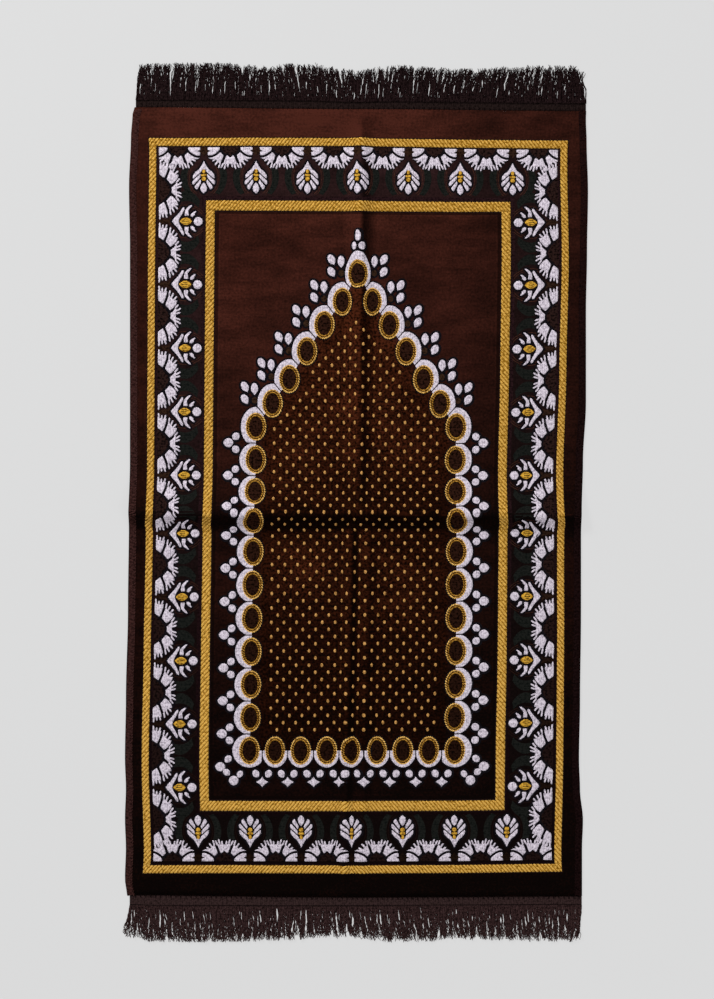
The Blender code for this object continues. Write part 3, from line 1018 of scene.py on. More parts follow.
scallops, scallop_edges = new_shape(), new_shape()
for number, (across, along, kind) in enumerate(rings):
    centre, size = (across, along), SCALLOPS[kind]
    before, after = rings[number - 1], rings[(number + 1) % len(rings)]
    start = math.atan2(after[1] - along, after[0] - across)
    end = math.atan2(before[1] - along, before[0] - across)
    turn = np.linspace(start, end + (2 * math.pi if end < start else 0), SCALLOP_STEPS)
    reach = oval_reach(turn, *size)
    if kind == "point":
        reach = reach + POINT_RISE * np.exp(-((turn - math.pi / 2) / POINT_ANGLE) ** 2)
    inner = oval_reach(turn, *(RING - SCALLOP_TUCK))
    outer = cut_by_neighbours(turn, reach, size, centre, (before, after), CUSP_GAP)
    outer = np.maximum(outer, inner + LEAST_WHITE)
    edge = cut_by_neighbours(turn, reach + BLACK_WIDTH, size, centre, (before, after), 0.0)
    edge = np.maximum(edge, outer + LEAST_BLACK)
    rails = [rays(centre, turn, inner + (outer - inner) * share) for share in SCALLOP_SHARES]
    add_ribbon(scallops, rails, (-SINK, WHITE_RISE * 0.7, WHITE_RISE, WHITE_RISE * 0.7, -SINK), False)
    rails = [rays(centre, turn, reach) for reach in (outer - UNDERLAP, outer - UNDERLAP, edge - 0.0002, edge)]
    add_ribbon(scallop_edges, rails, (-SINK, BLACK_RISE, BLACK_RISE, -SINK), False)
lay_on_cloth("scallop_edges", scallop_edges, black_thread)
lay_on_cloth("white_scallops", scallops, white_yarn)


def signed_area(outline):
    """Twice the area that an outline goes round, negative where it runs clockwise."""
    following = np.roll(outline, -1, axis=0)
    return np.sum(outline[:, 0] * following[:, 1] - outline[:, 1] * following[:, 0])


def grown(outline, width):
    """The outline moved outwards by a width."""
    ahead = np.roll(outline, -1, axis=0) - outline
    ahead /= np.maximum(np.linalg.norm(ahead, axis=1, keepdims=True), 1e-9)
    mean = ahead + np.roll(ahead, 1, axis=0)
    mean /= np.maximum(np.linalg.norm(mean, axis=1, keepdims=True), 1e-9)
    outward = np.stack([mean[:, 1], -mean[:, 0]], axis=-1) * (1 if signed_area(outline) > 0 else -1)
    return outline + outward * width


LOW_MOUND = 0.00035  # a figure no higher than this is almost flat, and needs one slope only
LOW_SLOPES = ((0.93, 1.0),)  # share of the outline, share of the height
HIGH_SLOPES = ((0.95, 0.55), (0.82, 0.88), (0.45, 1.0))


def add_mound(shape, outline, height, centre=None):
    """A low soft hill over an outline, highest about its centre, with a flat underside."""
    if signed_area(outline) < 0:
        outline = outline[::-1]
    centre = outline.mean(axis=0) if centre is None else np.array(centre)
    first, count = len(shape["points"]), len(outline)
    slopes = HIGH_SLOPES if height > LOW_MOUND else LOW_SLOPES
    for share, rise in ((1.0, -SINK), *((share, height * part) for share, part in slopes)):
        shape["points"] += [(px, py, rise) for px, py in centre + (outline - centre) * share]
    shape["points"].append((*centre, height))
    top = first + len(slopes) * count
    for step in range(count):
        following = (step + 1) % count
        for low in range(first, top, count):
            shape["faces"].append((low + step, low + following, low + count + following, low + count + step))
        shape["faces"].append((top + step, top + following, top + count))
    shape["faces"].append(tuple(first + step for step in reversed(range(count))))


# Each group's drops on the rug's left side: place from the cusp, size, point and turn
SLOPE_DROPS = (
    # across, along, width, length, point, turn
    (-0.0254, 0.0362, 0.0108, 0.0164, 1.5, 28),
    (-0.0130, 0.0338, 0.0106, 0.0172, 1.5, 2),
    (-0.0253, 0.0201, 0.0108, 0.0158, 1.5, 30),
)
COLUMN_DROPS = (
    (-0.0362, 0.0003, 0.0136, 0.0142, 0.6, -90),
    (-0.0263, 0.0085, 0.0108, 0.0116, 0.5, -40),
    (-0.0263, -0.0082, 0.0108, 0.0116, 0.5, 220),
)
FOOT_DROPS = (
    (-0.0083, -0.0303, 0.0104, 0.0118, 0.5, 35),
    (0.0083, -0.0303, 0.0104, 0.0118, 0.5, -35),
)
CORNER_DROPS = (
    (-0.0375, -0.0214, 0.0136, 0.0142, 0.6, -90),
    (-0.0274, -0.0113, 0.0100, 0.0116, 0.5, -40),
    (-0.0291, -0.0286, 0.0096, 0.0108, 0.5, 45),
    (-0.0202, -0.0393, 0.0138, 0.0138, 0.2, 0),
    (-0.0123, -0.0309, 0.0088, 0.0108, 0.5, -30),
)
FINIAL = (
    (0.0006, 0.3520, 0.0074, 0.0156, -0.5, 0),
    (-0.0044, 0.3384, 0.0080, 0.0112, 0.1, 0),
    (0.0054, 0.3384, 0.0080, 0.0112, 0.1, 0),
)
LOZENGE = np.array(((0.0085, -0.0410), (0.0026, -0.0376), (0.0, -0.0338), (-0.0026, -0.0376),
                    (-0.0085, -0.0410), (-0.0034, -0.0440), (0.0, -0.0478), (0.0034, -0.0440)))
WIDTH_SHARE = 0.91  # what the black thread leaves of a drop's width and length
LENGTH_SHARE = 0.95
DROP_EDGE = 0.0032
# Painted shadow: the black thread round a drop is shifted down and to the right, where the raised white casts
# its shadow in the light from the upper left
DROP_SHADOW_SHIFT = (0.0003, -0.0003)  # the black thread shows a little more below and to the right
DROP_STEPS = 22
SQUARE_OFFSET = (0.0128, 0.0190)  # of the small olive square beside a slope's cusp
SQUARE = (0.0040, 0.0048)
SQUARE_GROUND = (0.0064, 0.0074)


def add_white(outline):
    """A white figure of the arch, and the black thread round it, shifted a little down and right as a painted
    shadow.
    """
    add_mound(white_drops, outline, WHITE_RISE)
    add_mound(drop_edges, grown(outline, DROP_EDGE) + DROP_SHADOW_SHIFT, BLACK_RISE)


def add_drops(table, place, side):
    """A group of drops, round above and pointed below, as drawn on the left side or mirrored."""
    for across, along, width, length, point, turn in table:
        drop = oval(width * WIDTH_SHARE / 2, length * LENGTH_SHARE / 2, DROP_STEPS)
        down = np.clip(drop[:, 1] / (length * LENGTH_SHARE / 2), -1, 1)
        drop[down < 0, 0] *= (np.abs(np.cos(np.arcsin(down))) ** point)[down < 0]
        add_white(turned_to(drop, (place[0] - side * across, place[1] + along, math.radians(-side * turn))))


white_drops, drop_edges, cusp_squares = new_shape(), new_shape(), new_shape()
for number, (across, along, kind) in enumerate(rings):
    after = rings[(number + 1) % len(rings)]
    kinds = {kind, after[2]}
    cusp = np.array((across + after[0], along + after[1])) / 2
    side = 1 if cusp[0] > 0 else -1
    if "column" in kinds:
        add_drops(COLUMN_DROPS, cusp, side)
    elif "slope" in kinds:
        add_drops(SLOPE_DROPS, cusp, side)
        corner = cusp + (side * SQUARE_OFFSET[0], SQUARE_OFFSET[1])
        add_mound(drop_edges, corner + oval(*SQUARE_GROUND, 8), 0.0001)
        add_mound(cusp_squares, corner + oval(*SQUARE, 8), 0.0003)
    else:
        add_drops(FOOT_DROPS, cusp, -1)
        add_white(cusp + LOZENGE)
for side in (-1, 1):
    add_drops(CORNER_DROPS, (side * FOOT_REACH * FOOT_PITCH, foot_along), side)
add_drops(FINIAL, (0.0, 0.0), -1)
olive_thread = thread("olive_thread", (0.0060, 0.0036, 0.0020), (0.0420, 0.0200, 0.0110), 1.1)
lay_on_cloth("drop_edges", drop_edges, black_thread)
lay_on_cloth("white_drops", white_drops, white_yarn, smooth=True)
lay_on_cloth("cusp_squares", cusp_squares, olive_thread)

# Each ring is two turns of gold yarn in slanting stitches, the outer lighter, round a dark eye
OUTER_TURN = (34, 0.79)  # stitches, share of the way from the eye to the ring's edge
INNER_TURN = (27, 0.26)
STITCH_LEAN = math.radians(32)
RING_SECTION = ((0.0, -SINK), (0.12, 0.0004), (0.88, 0.0004), (1.0, -SINK))  # share of it, height
RING_EDGE = (0.0022, 0.0026)  # how far the black goes out beyond the ring, across and along
RING_EDGE_RISE = 0.00012
EYE_OVERLAP = 0.001
EYE_RISE = 0.00022
POINT_PEAK = 1.35  # how far the topmost ring is drawn out to a point
STITCH_RISE = 0.0004

ring_ground, ring_edges, ring_eyes = new_shape(), new_shape(), new_shape()
outer_stitches, inner_stitches = [], []
for across, along, kind in rings:
    peak = POINT_PEAK if kind == "point" else 1.0
    centre = np.array((across, along))
    rails = [centre + oval(*(HOLE + (RING - HOLE) * share), 36, point=peak) for share, _ in RING_SECTION]
    add_ribbon(ring_ground, rails, [height for _, height in RING_SECTION], True)
    add_mound(ring_eyes, centre + oval(*(HOLE + EYE_OVERLAP), 24, point=peak), EYE_RISE)
    add_mound(ring_edges, centre + oval(*(RING + RING_EDGE), 30, point=peak), RING_EDGE_RISE)
    for stitches, (count, share) in ((outer_stitches, OUTER_TURN), (inner_stitches, INNER_TURN)):
        path = centre + oval(*(HOLE + (RING - HOLE) * share), count, point=peak)
        ahead = np.roll(path, -1, axis=0) - np.roll(path, 1, axis=0)
        for (px, py), (ax, ay) in zip(path, ahead):
            stitches.append((px, py, math.atan2(ay, ax) - math.pi / 2 + STITCH_LEAN))
eye_thread = thread("eye_thread", (0.0030, 0.0014, 0.0008), (0.0290, 0.0105, 0.0062), 1.5, painted_foot_light=0.55)
ring_brown = thread("ring_brown", (0.016, 0.006, 0.001), (0.075, 0.028, 0.003), 0.8, 500, 500)
ring_gold = thread("ring_gold", (0.300, 0.128, 0.010), (0.980, 0.600, 0.170), 1.3, **SHINY)
mid_gold = thread("mid_gold", (0.150, 0.058, 0.005), (0.560, 0.285, 0.045), 1.2, **SHINY)
stitch = superoval_mesh("stitch", 5, 5, 0.6)
lay_on_cloth("ring_edges", ring_edges, black_thread)
lay_on_cloth("ring_eyes", ring_eyes, eye_thread)
lay_on_cloth("ring_ground", ring_ground, ring_brown)
for name, stitches, gold, size in (
        ("ring_outer_turns", outer_stitches, ring_gold, (0.0017, 0.0033, 0.0013)),
        ("ring_inner_turns", inner_stitches, mid_gold, (0.0016, 0.0030, 0.0011))):
    lay_on_cloth(name, set_at(stitches, stitch, gold, size, STITCH_RISE), gold, smooth=True)


# ------------------------------------------------
# The dots: small gold tufts in staggered rows that fill the arch, one more in every row from the
# point down until the rings' columns hold them.
# ------------------------------------------------

DOT_PITCH = 0.01667
DOT_ROW_PITCH = 0.009297
DOT_ROWS = 59
FIRST_DOT = 0.2379
DOT_LIMIT = 0.112
DOT_SIZE = (0.0037, 0.0050, 0.0018)
RING_CLEARANCE = (0.0235, 0.0240)

dot_places = []
for row in range(DOT_ROWS):
    along = FIRST_DOT - row * DOT_ROW_PITCH
    for number in range(-row, row + 1, 2):
        across = number * DOT_PITCH / 2
        off_rings = [(np.array((across, along)) - ring[:2]) / RING_CLEARANCE for ring in rings]
        if abs(across) < DOT_LIMIT and np.linalg.norm(off_rings, axis=1).min() > 1:
            dot_places.append((across, along, 0.0))
dot_gold = thread("dot_gold", (0.220, 0.094, 0.018), (0.660, 0.350, 0.110), 0.9, **SHINY)
tuft = superoval_mesh("tuft", 8, 5, 1.15)
lay_on_cloth("gold_dots", set_at(dot_places, tuft, dot_gold, DOT_SIZE), dot_gold, smooth=True)


# ------------------------------------------------
# The border's figures: half rosettes with their backs to the outer frame, and palmettes between
# them that point out of the rug, in white yarn with a little gold. They are shorter and broader
# at the rug's sides than at its ends, as the loom's two directions draw them.
# ------------------------------------------------

SLIT = 0.0004  # half the width of a slit in a palmette's heart
SLIT_RISE = 0.0014
FINGER_RISE = WHITE_RISE * 1.05
GOLD_RISE = WHITE_RISE * 1.2
EYE_GROUND_RISE = 0.00026
BACKING_RISE = 0.00010
END_LEAF_RISE = 0.00032
SIDE_LEAF_RISE = 0.00024
PETAL_SHRINK = 0.0002
GOLD_EDGE = 0.0008
ROSETTE_EDGE = 0.0010
PALMETTE_EDGE = 0.0024
CORNER_CUT = 0.12  # the share of each side that rounding an outline takes off its ends
FINGER = ((0.0, 0.45), (0.8, 1.00), (3.0, 1.20), (6.6, 1.00), (7.4, 0.4),  # back from its tip, aside
          (7.4, -0.4), (6.6, -1.00), (3.0, -1.20), (0.8, -1.00), (0.0, -0.45))
END_ROSETTE_INSET = 0.0126
SIDE_ROSETTE_INSET = 0.0136
END_PALMETTE_INSET = 0.0301
SIDE_PALMETTE_INSET = 0.0313
END_CROWN_CENTRE = (0.0, -0.0075)
SIDE_CROWN_CENTRE = (0.0, -0.0050)

# Outlines in millimetres: to the side of the figure's middle line, and in from its outer end.
# Those that start and end on the middle line are halves. Each row of fingers, the loose ends of
# a petal's yarns, is the point they fan out from and then their tips.
END_ROSETTE = {
    "backing": ((0.0, 0.0), (31.8, 0.0), (31.6, 7.9), (30.4, 12.6), (26.6, 18.0), (23.0, 22.4), (18.0, 27.0),
                (12.4, 29.6), (6.2, 29.6), (0.0, 26.4)),
    "flank": ((12.8, 0.0), (29.6, 0.0), (29.4, 3.8), (25.6, 5.2), (29.4, 6.6), (29.0, 11.4), (24.4, 11.4),
              (19.4, 9.2), (15.0, 5.8), (13.2, 3.4)),
    "shoulder": ((12.6, 6.4), (16.4, 9.8), (20.4, 12.2), (25.0, 13.8), (29.4, 14.0), (25.4, 16.2),
                 (19.8, 16.0), (17.3, 18.3), (15.0, 20.7), (12.6, 22.4), (9.0, 14.2), (8.3, 10.8)),
    "heart": ((0.0, 13.9), (3.8, 10.4), (5.7, 12.2), (7.8, 18.0), (9.4, 22.2), (7.0, 23.3), (4.4, 22.9),
              (2.0, 22.3), (0.0, 23.0)),
    "fingers": (((8.0, 8.0), (23.2, 18.8), (19.6, 23.8), (15.0, 27.8)),
                ((0.0, 4.0), (11.8, 27.6), (7.6, 29.2), (3.2, 27.0))),
    "eye": ((0.0, 0.0), (11.8, 0.0), (11.4, 3.8), (9.8, 4.6), (9.4, 6.8), (6.8, 8.6), (4.6, 9.0), (2.4, 10.2),
            (0.0, 12.6)),
}
SIDE_ROSETTE = {
    "backing": ((0.0, 0.0), (38.6, 0.0), (38.6, 12.4), (33.4, 18.0), (29.6, 23.0), (25.2, 27.0), (16.4, 30.6),
                (6.4, 31.8), (0.0, 29.0)),
    "flank": ((20.2, 0.3), (35.2, 0.4), (33.4, 3.2), (32.2, 6.6), (32.2, 10.0), (32.8, 12.8), (28.0, 12.2),
              (21.6, 10.2), (16.8, 8.0), (15.6, 6.8)),
    "shoulder": ((14.2, 9.9), (18.6, 11.4), (23.0, 13.2), (28.2, 15.0), (25.6, 17.5), (23.2, 19.7),
                 (20.8, 21.7), (20.4, 26.6), (14.8, 25.0), (9.4, 20.2), (6.9, 16.2)),
    "heart": ((0.0, 17.0), (3.2, 16.4), (4.9, 18.4), (7.4, 21.2), (11.0, 24.0), (9.0, 25.4), (6.2, 25.3),
              (3.4, 24.4), (0.0, 24.2)),
    "fingers": (((16.0, 5.0), (39.4, 1.9), (36.8, 6.4), (37.0, 11.4)),
                ((10.0, 12.0), (33.4, 16.6), (30.0, 21.0), (25.6, 25.4)),
                ((0.0, 15.0), (15.0, 27.4), (10.2, 30.6), (4.9, 30.2))),
    "eye": ((0.0, 0.0), (19.0, 0.0), (17.6, 3.6), (15.4, 4.4), (14.6, 6.8), (12.0, 8.2), (10.6, 10.8),
            (7.8, 11.6), (5.8, 14.0), (2.6, 14.6), (0.0, 15.6)),
}
END_PALMETTE = {
    "crown": ((0.0, 0.0), (2.1, 4.5), (6.2, 11.3), (10.6, 14.5), (14.3, 19.1), (14.8, 23.6), (13.4, 24.4),
              (3.7, 15.7), (3.1, 12.6), (0.0, 12.2)),
    "frond": ((3.9, 16.9), (14.3, 26.2), (15.1, 28.8), (14.8, 31.2), (13.0, 32.2), (4.3, 22.7)),
    "lower_frond": ((4.3, 24.1), (12.1, 33.9), (11.3, 36.9), (8.6, 38.8), (2.9, 28.6)),
    "bud": ((0.0, 28.3), (2.9, 31.4), (4.8, 36.4), (3.7, 40.6), (0.0, 43.8)),
    "gold top": ((0.0, 11.2), (1.6, 12.4), (2.2, 14.6), (1.4, 16.8), (0.0, 17.4)),
    "gold middle": ((0.0, 17.9), (2.8, 17.6), (4.0, 19.2), (2.8, 20.9), (0.0, 20.8)),
    "gold low": ((0.0, 21.3), (2.1, 21.8), (3.1, 23.8), (2.2, 26.2), (0.0, 26.9)),
}
SIDE_PALMETTE = {
    "crown": ((0.0, 0.0), (3.4, 2.2), (8.6, 7.2), (13.8, 11.2), (18.8, 14.2), (19.4, 16.6), (16.4, 17.2),
              (11.4, 14.7), (7.4, 12.6), (4.4, 10.6), (0.0, 9.4)),
    "frond": ((6.9, 16.6), (11.0, 16.4), (15.4, 17.4), (18.8, 20.2), (21.8, 24.4), (21.6, 27.2), (18.4, 24.6),
              (15.4, 22.0), (12.6, 21.2), (9.6, 22.2), (6.9, 22.4)),
    "lower_frond": ((6.4, 24.0), (9.6, 24.6), (12.2, 27.4), (14.2, 31.0), (12.8, 32.2), (10.6, 30.0),
                    (8.2, 30.2), (5.6, 27.0)),
    "bud": ((0.0, 27.8), (2.2, 28.8), (4.8, 30.2), (6.2, 33.0), (5.8, 36.8), (3.4, 39.6), (0.0, 40.8)),
    "gold": ((0.0, 9.8), (2.9, 12.8), (5.0, 16.6), (4.9, 20.8), (2.7, 24.4), (0.0, 26.6)),
    "slits": (((0.3, 13.4), (-0.3, 22.0)), ((2.6, 14.8), (2.9, 21.2))),
}
END_LEAF = ((-3.6, 0.0), (3.6, 0.0), (3.8, 2.6), (6.2, 4.2), (5.6, 7.6), (3.2, 8.2), (0.0, 12.4), (-3.2, 8.2),
            (-5.6, 7.6), (-6.2, 4.2), (-3.8, 2.6))
SIDE_LEAF = ((-1.8, 0.4), (1.8, 0.4), (1.6, 3.2), (3.6, 5.0), (2.0, 7.0), (3.4, 10.0), (3.0, 13.4),
             (5.4, 17.6), (2.6, 17.4), (0.0, 15.2), (-2.6, 17.4), (-5.4, 17.6), (-3.0, 13.4),
             (-3.4, 10.0), (-2.0, 7.0), (-3.6, 5.0), (-1.6, 3.2))


def in_metres(drawn):
    """An outline drawn in millimetres, in metres and with the rug's edge upwards."""
    return np.array(drawn) * (MILLIMETRE, -MILLIMETRE)


def rounded(outline):
    """The outline with its corners cut a little."""
    following = np.roll(outline, -1, axis=0)
    ends = [outline * (1 - share) + following * share for share in (CORNER_CUT, 1 - CORNER_CUT)]
    return np.stack(ends, axis=1).reshape(-1, 2)


def finger_outlines(rows):
    """The outlines of the loose yarn ends of some petals."""
    for root, *tips in rows:
        for tip in np.array(tips):
            reach = (tip - root) / np.linalg.norm(tip - root)
            side = np.array((-reach[1], reach[0]))
            yield in_metres([tip - reach * back + side * aside for back, aside in FINGER])


def slit_outlines(slits):
    """The outlines of narrow slits that taper to half their width."""
    for start, end in map(in_metres, slits):
        reach = (end - start) / np.linalg.norm(end - start)
        side = np.array((reach[1], -reach[0])) * SLIT
        yield np.array((start + side, start - side, end - side / 2, end + side / 2))


def figure_shapes(parts, edge, crown_centre=None):
    """The white, gold, black and dark shapes of one border figure, its outer end upwards."""
    shapes = {label: new_shape() for label in ("white", "gold", "black", "dark")}
    for label, drawn in parts.items():
        if label in ("fingers", "slits"):
            ends, colour, rise = ((finger_outlines(drawn), "white", FINGER_RISE) if label == "fingers"
                                  else (slit_outlines(drawn), "black", SLIT_RISE))
            for outline in ends:
                for mirror in (-1, 1):
                    add_mound(shapes[colour], outline * (mirror, 1), rise)
            continue
        outline = in_metres(drawn)
        if outline[0, 0] == 0 and outline[-1, 0] == 0:
            back = outline[::-1]
            outlines = [rounded(np.concatenate([outline, back[back[:, 0] != 0] * (-1, 1)]))]
        else:
            outlines = [rounded(outline), rounded(outline) * (-1, 1)]
        centre = crown_centre if label == "crown" else None
        for outline in outlines:
            if label == "eye":
                add_mound(shapes["dark"], outline, EYE_GROUND_RISE)
            elif label == "backing":
                add_mound(shapes["black"], outline, BACKING_RISE)
            elif label.startswith("gold"):
                add_mound(shapes["gold"], outline, GOLD_RISE)
                add_mound(shapes["black"], grown(outline, GOLD_EDGE), BLACK_RISE)
            else:
                add_mound(shapes["white"], grown(outline, -PETAL_SHRINK), WHITE_RISE, centre)
                add_mound(shapes["black"], grown(outline, edge), BLACK_RISE, centre)
    return shapes


def lay_figures(name, figures, label, material, limits=None):
    """Lays one colour of every figure on the cloth, cut off square at some limits."""
    motifs = [set_at(places, shape_mesh(name, shapes[label]), material) for places, shapes in figures]
    mesh = joined(name, motifs)
    if limits:
        keep_within(mesh, *limits)
    lay_on_cloth(name, mesh, material, smooth=label in ("white", "gold"))


rosette_eye = thread("rosette_eye", (0.0030, 0.0018, 0.0018), (0.0250, 0.0115, 0.0096), 1.5, painted_foot_light=0.55)
rosettes = ((border_places(8, 0, (END_ROSETTE_INSET, 0)), figure_shapes(END_ROSETTE, ROSETTE_EDGE)),
            (border_places(0, 11, (0, SIDE_ROSETTE_INSET)), figure_shapes(SIDE_ROSETTE, ROSETTE_EDGE)))
half_width = OUTER_HALF_WIDTH - SIDE_ROSETTE_INSET
half_length = OUTER_HALF_LENGTH - END_ROSETTE_INSET
rosette_limits = ((-half_width, FRAME_MIDDLE - half_length + FOOT_SHIFT),
                  (half_width, FRAME_MIDDLE + half_length))
lay_figures("rosette_eyes", rosettes, "dark", rosette_eye, rosette_limits)
lay_figures("rosette_edges", rosettes, "black", black_thread, rosette_limits)
lay_figures("white_rosettes", rosettes, "white", white_yarn, rosette_limits)

# A leaf of brownish pile stands between each two rosettes
leaf_thread = thread("leaf_thread", (0.0050, 0.0026, 0.0018), (0.0330, 0.0150, 0.0090), 1.1, painted_foot_light=0.30)
leaves = new_shape()
for places, leaf, rise in ((border_places(7, 0, (END_ROSETTE_INSET, 0)), END_LEAF, END_LEAF_RISE),
                           (border_places(0, 10, (0, SIDE_ROSETTE_INSET)), SIDE_LEAF, SIDE_LEAF_RISE)):
    for place in places:
        add_mound(leaves, turned_to(in_metres(leaf), place), rise)
lay_on_cloth("leaves", leaves, leaf_thread)

heart_gold = thread("heart_gold", (0.200, 0.085, 0.006), (0.740, 0.410, 0.050), 1.1, **SHINY)
palmettes = ((border_places(7, 0, (END_PALMETTE_INSET, 0)),
              figure_shapes(END_PALMETTE, PALMETTE_EDGE, END_CROWN_CENTRE)),
             (border_places(0, 10, (0, SIDE_PALMETTE_INSET)),
              figure_shapes(SIDE_PALMETTE, PALMETTE_EDGE, SIDE_CROWN_CENTRE)))
lay_figures("palmette_edges", palmettes, "black", black_thread)
lay_figures("white_palmettes", palmettes, "white", white_yarn)
lay_figures("palmette_hearts", palmettes, "gold", heart_gold)


# ------------------------------------------------
# The side hems: the cloth's edge is turned in and overlocked. Yarns lie side by side across the
# hem and round its edge, with a chain of stitches along the hem's inner side.
# ------------------------------------------------

HEM_END = 0.5135
HEM_YARNS = 541
HEM_YARN_SIZE = (0.0017, 0.0086, 0.0012)
CHAIN_SIZE = (0.0013, 0.0042, 0.0014)

# Painted shade: the right hem's yarn is the left's, painted darker, as that side lies away from the light
lit_left_hem_yarn = thread("lit_left_hem_yarn", (0.0125, 0.0050, 0.0044), (0.0700, 0.0275, 0.0240), 0.9, 700, 700)
shaded_right_hem_yarn = thread("shaded_right_hem_yarn", (0.0026, 0.0012, 0.0012), (0.0160, 0.0066, 0.0066), 0.9, 700, 700)
hem_motif = superoval_mesh("hem_yarn", 5, 5, 0.35)
chance = np.random.default_rng(7)
for side, column, name, hem_yarn in ((-1, 1, "left_hem", lit_left_hem_yarn), (1, 2, "right_hem", shaded_right_hem_yarn)):
    along = np.linspace(HEM_END, -HEM_END, HEM_YARNS)
    edge = read_table(SELVEDGES, along, column)
    stitching = []
    for inset, step, lean, motif, size, rise in (
            (0.0047, 1, math.pi / 2 - side * 0.20, hem_motif, HEM_YARN_SIZE, 0.0005),
            (0.0090, 2, side * 0.25, stitch, CHAIN_SIZE, 0.0003)):
        places = unroll(edge[::step] - side * inset, along[::step])
        turns = lean + chance.uniform(-0.10, 0.10, len(places[0]))
        stitching.append(set_at(list(zip(*places, turns)), motif, hem_yarn, size, rise))
    lay_on_cloth(name, joined(name, stitching), hem_yarn, smooth=True)


# ------------------------------------------------
# The fringes: at each end a woven heading tape, sewn along the cloth's cut end, from which some
# hundreds of thin two-ply yarns hang. They lie level on the floor, lean and bunch together, and
# their plies part at the tips.
# ------------------------------------------------

PARTING = 0.0003
TAPE_THICKNESS = 0.0018
TAPE_STEPS = 260
TAPE_SECTION = ((0.0, 0.0), (0.0, 0.8), (0.07, 1.0), (0.5, 0.94), (0.93, 1.0), (1.0, 0.8), (1.0, 0.0))
FRINGE_LIMIT = 0.5752  # no yarn ends further out
TOP_FRINGE = (
    # across, tape, reach, lean
    (-0.2890, 0.5285, 0.5700, 0.0050), (-0.2780, 0.5285, 0.5730, 0.0030), (-0.2600, 0.5285, 0.5740, 0.0020),
    (-0.1900, 0.5285, 0.5750, 0.0035), (-0.1250, 0.5280, 0.5690, -0.0010), (-0.0700, 0.5275, 0.5730, -0.0045),
    (0.0050, 0.5255, 0.5650, 0.0010), (0.0500, 0.5265, 0.5700, 0.0030), (0.1350, 0.5255, 0.5660, 0.0060),
    (0.2400, 0.5245, 0.5700, 0.0060), (0.2780, 0.5240, 0.5700, 0.0020), (0.3005, 0.5235, 0.5640, -0.0062),
)
BOTTOM_FRINGE = (
    (-0.2970, -0.5290, -0.5670, -0.0035), (-0.2600, -0.5300, -0.5740, 0.0030),
    (-0.1900, -0.5300, -0.5750, 0.0040), (-0.0900, -0.5305, -0.5710, -0.0010),
    (-0.0250, -0.5305, -0.5670, 0.0025), (0.0500, -0.5300, -0.5735, 0.0040),
    (0.1400, -0.5295, -0.5700, 0.0030), (0.2300, -0.5290, -0.5720, 0.0020),
    (0.2800, -0.5286, -0.5730, 0.0000), (0.2950, -0.5285, -0.5700, -0.0035),
)
STITCH_PITCH = 0.0022
TOOTH_SIZE = (0.0011, 0.0046, 0.0012)
TOOTH_RISE = 0.0024
TOOTH_INSET = 0.0012  # how far onto the tape the stitches over the cloth's edge are centred
LINE_SIZE = (0.0009, 0.0026, 0.0010)
LINE_RISE = 0.0018
LINE_INSET = 0.0026  # of the line of stitches near the tape's outer edge, and of the ones on it
RIM_INSET = 0.0005
YARNS_PER_END = 1060
PLIES = 2
BUNCH = 9  # yarns that lean together
BUNCH_TURN_IN = 0.30  # how far a bunch draws together towards its tips
BUNCH_LEAN = 0.0013  # how far chance moves a bunch's tips aside, and outwards
BUNCH_REACH = 0.0014
LEAN_SPREAD = 0.0020  # the same for a single yarn
REACH_SPREAD = (-0.0055, 0.0022)
ROOT_DEPTH = 0.0012  # how far inside the tape's edge the yarns begin
ROOT_SCATTER = 0.3
YARN_LOOKS = {"Ply Radius": 0.00071, "Twist Radius": 0.00042, "Twists": 2.6, "Wander": 0.0180, "Fray": 0.0012,
              "Rise": 0.0018, "Steps": 10, "Sides": 3}


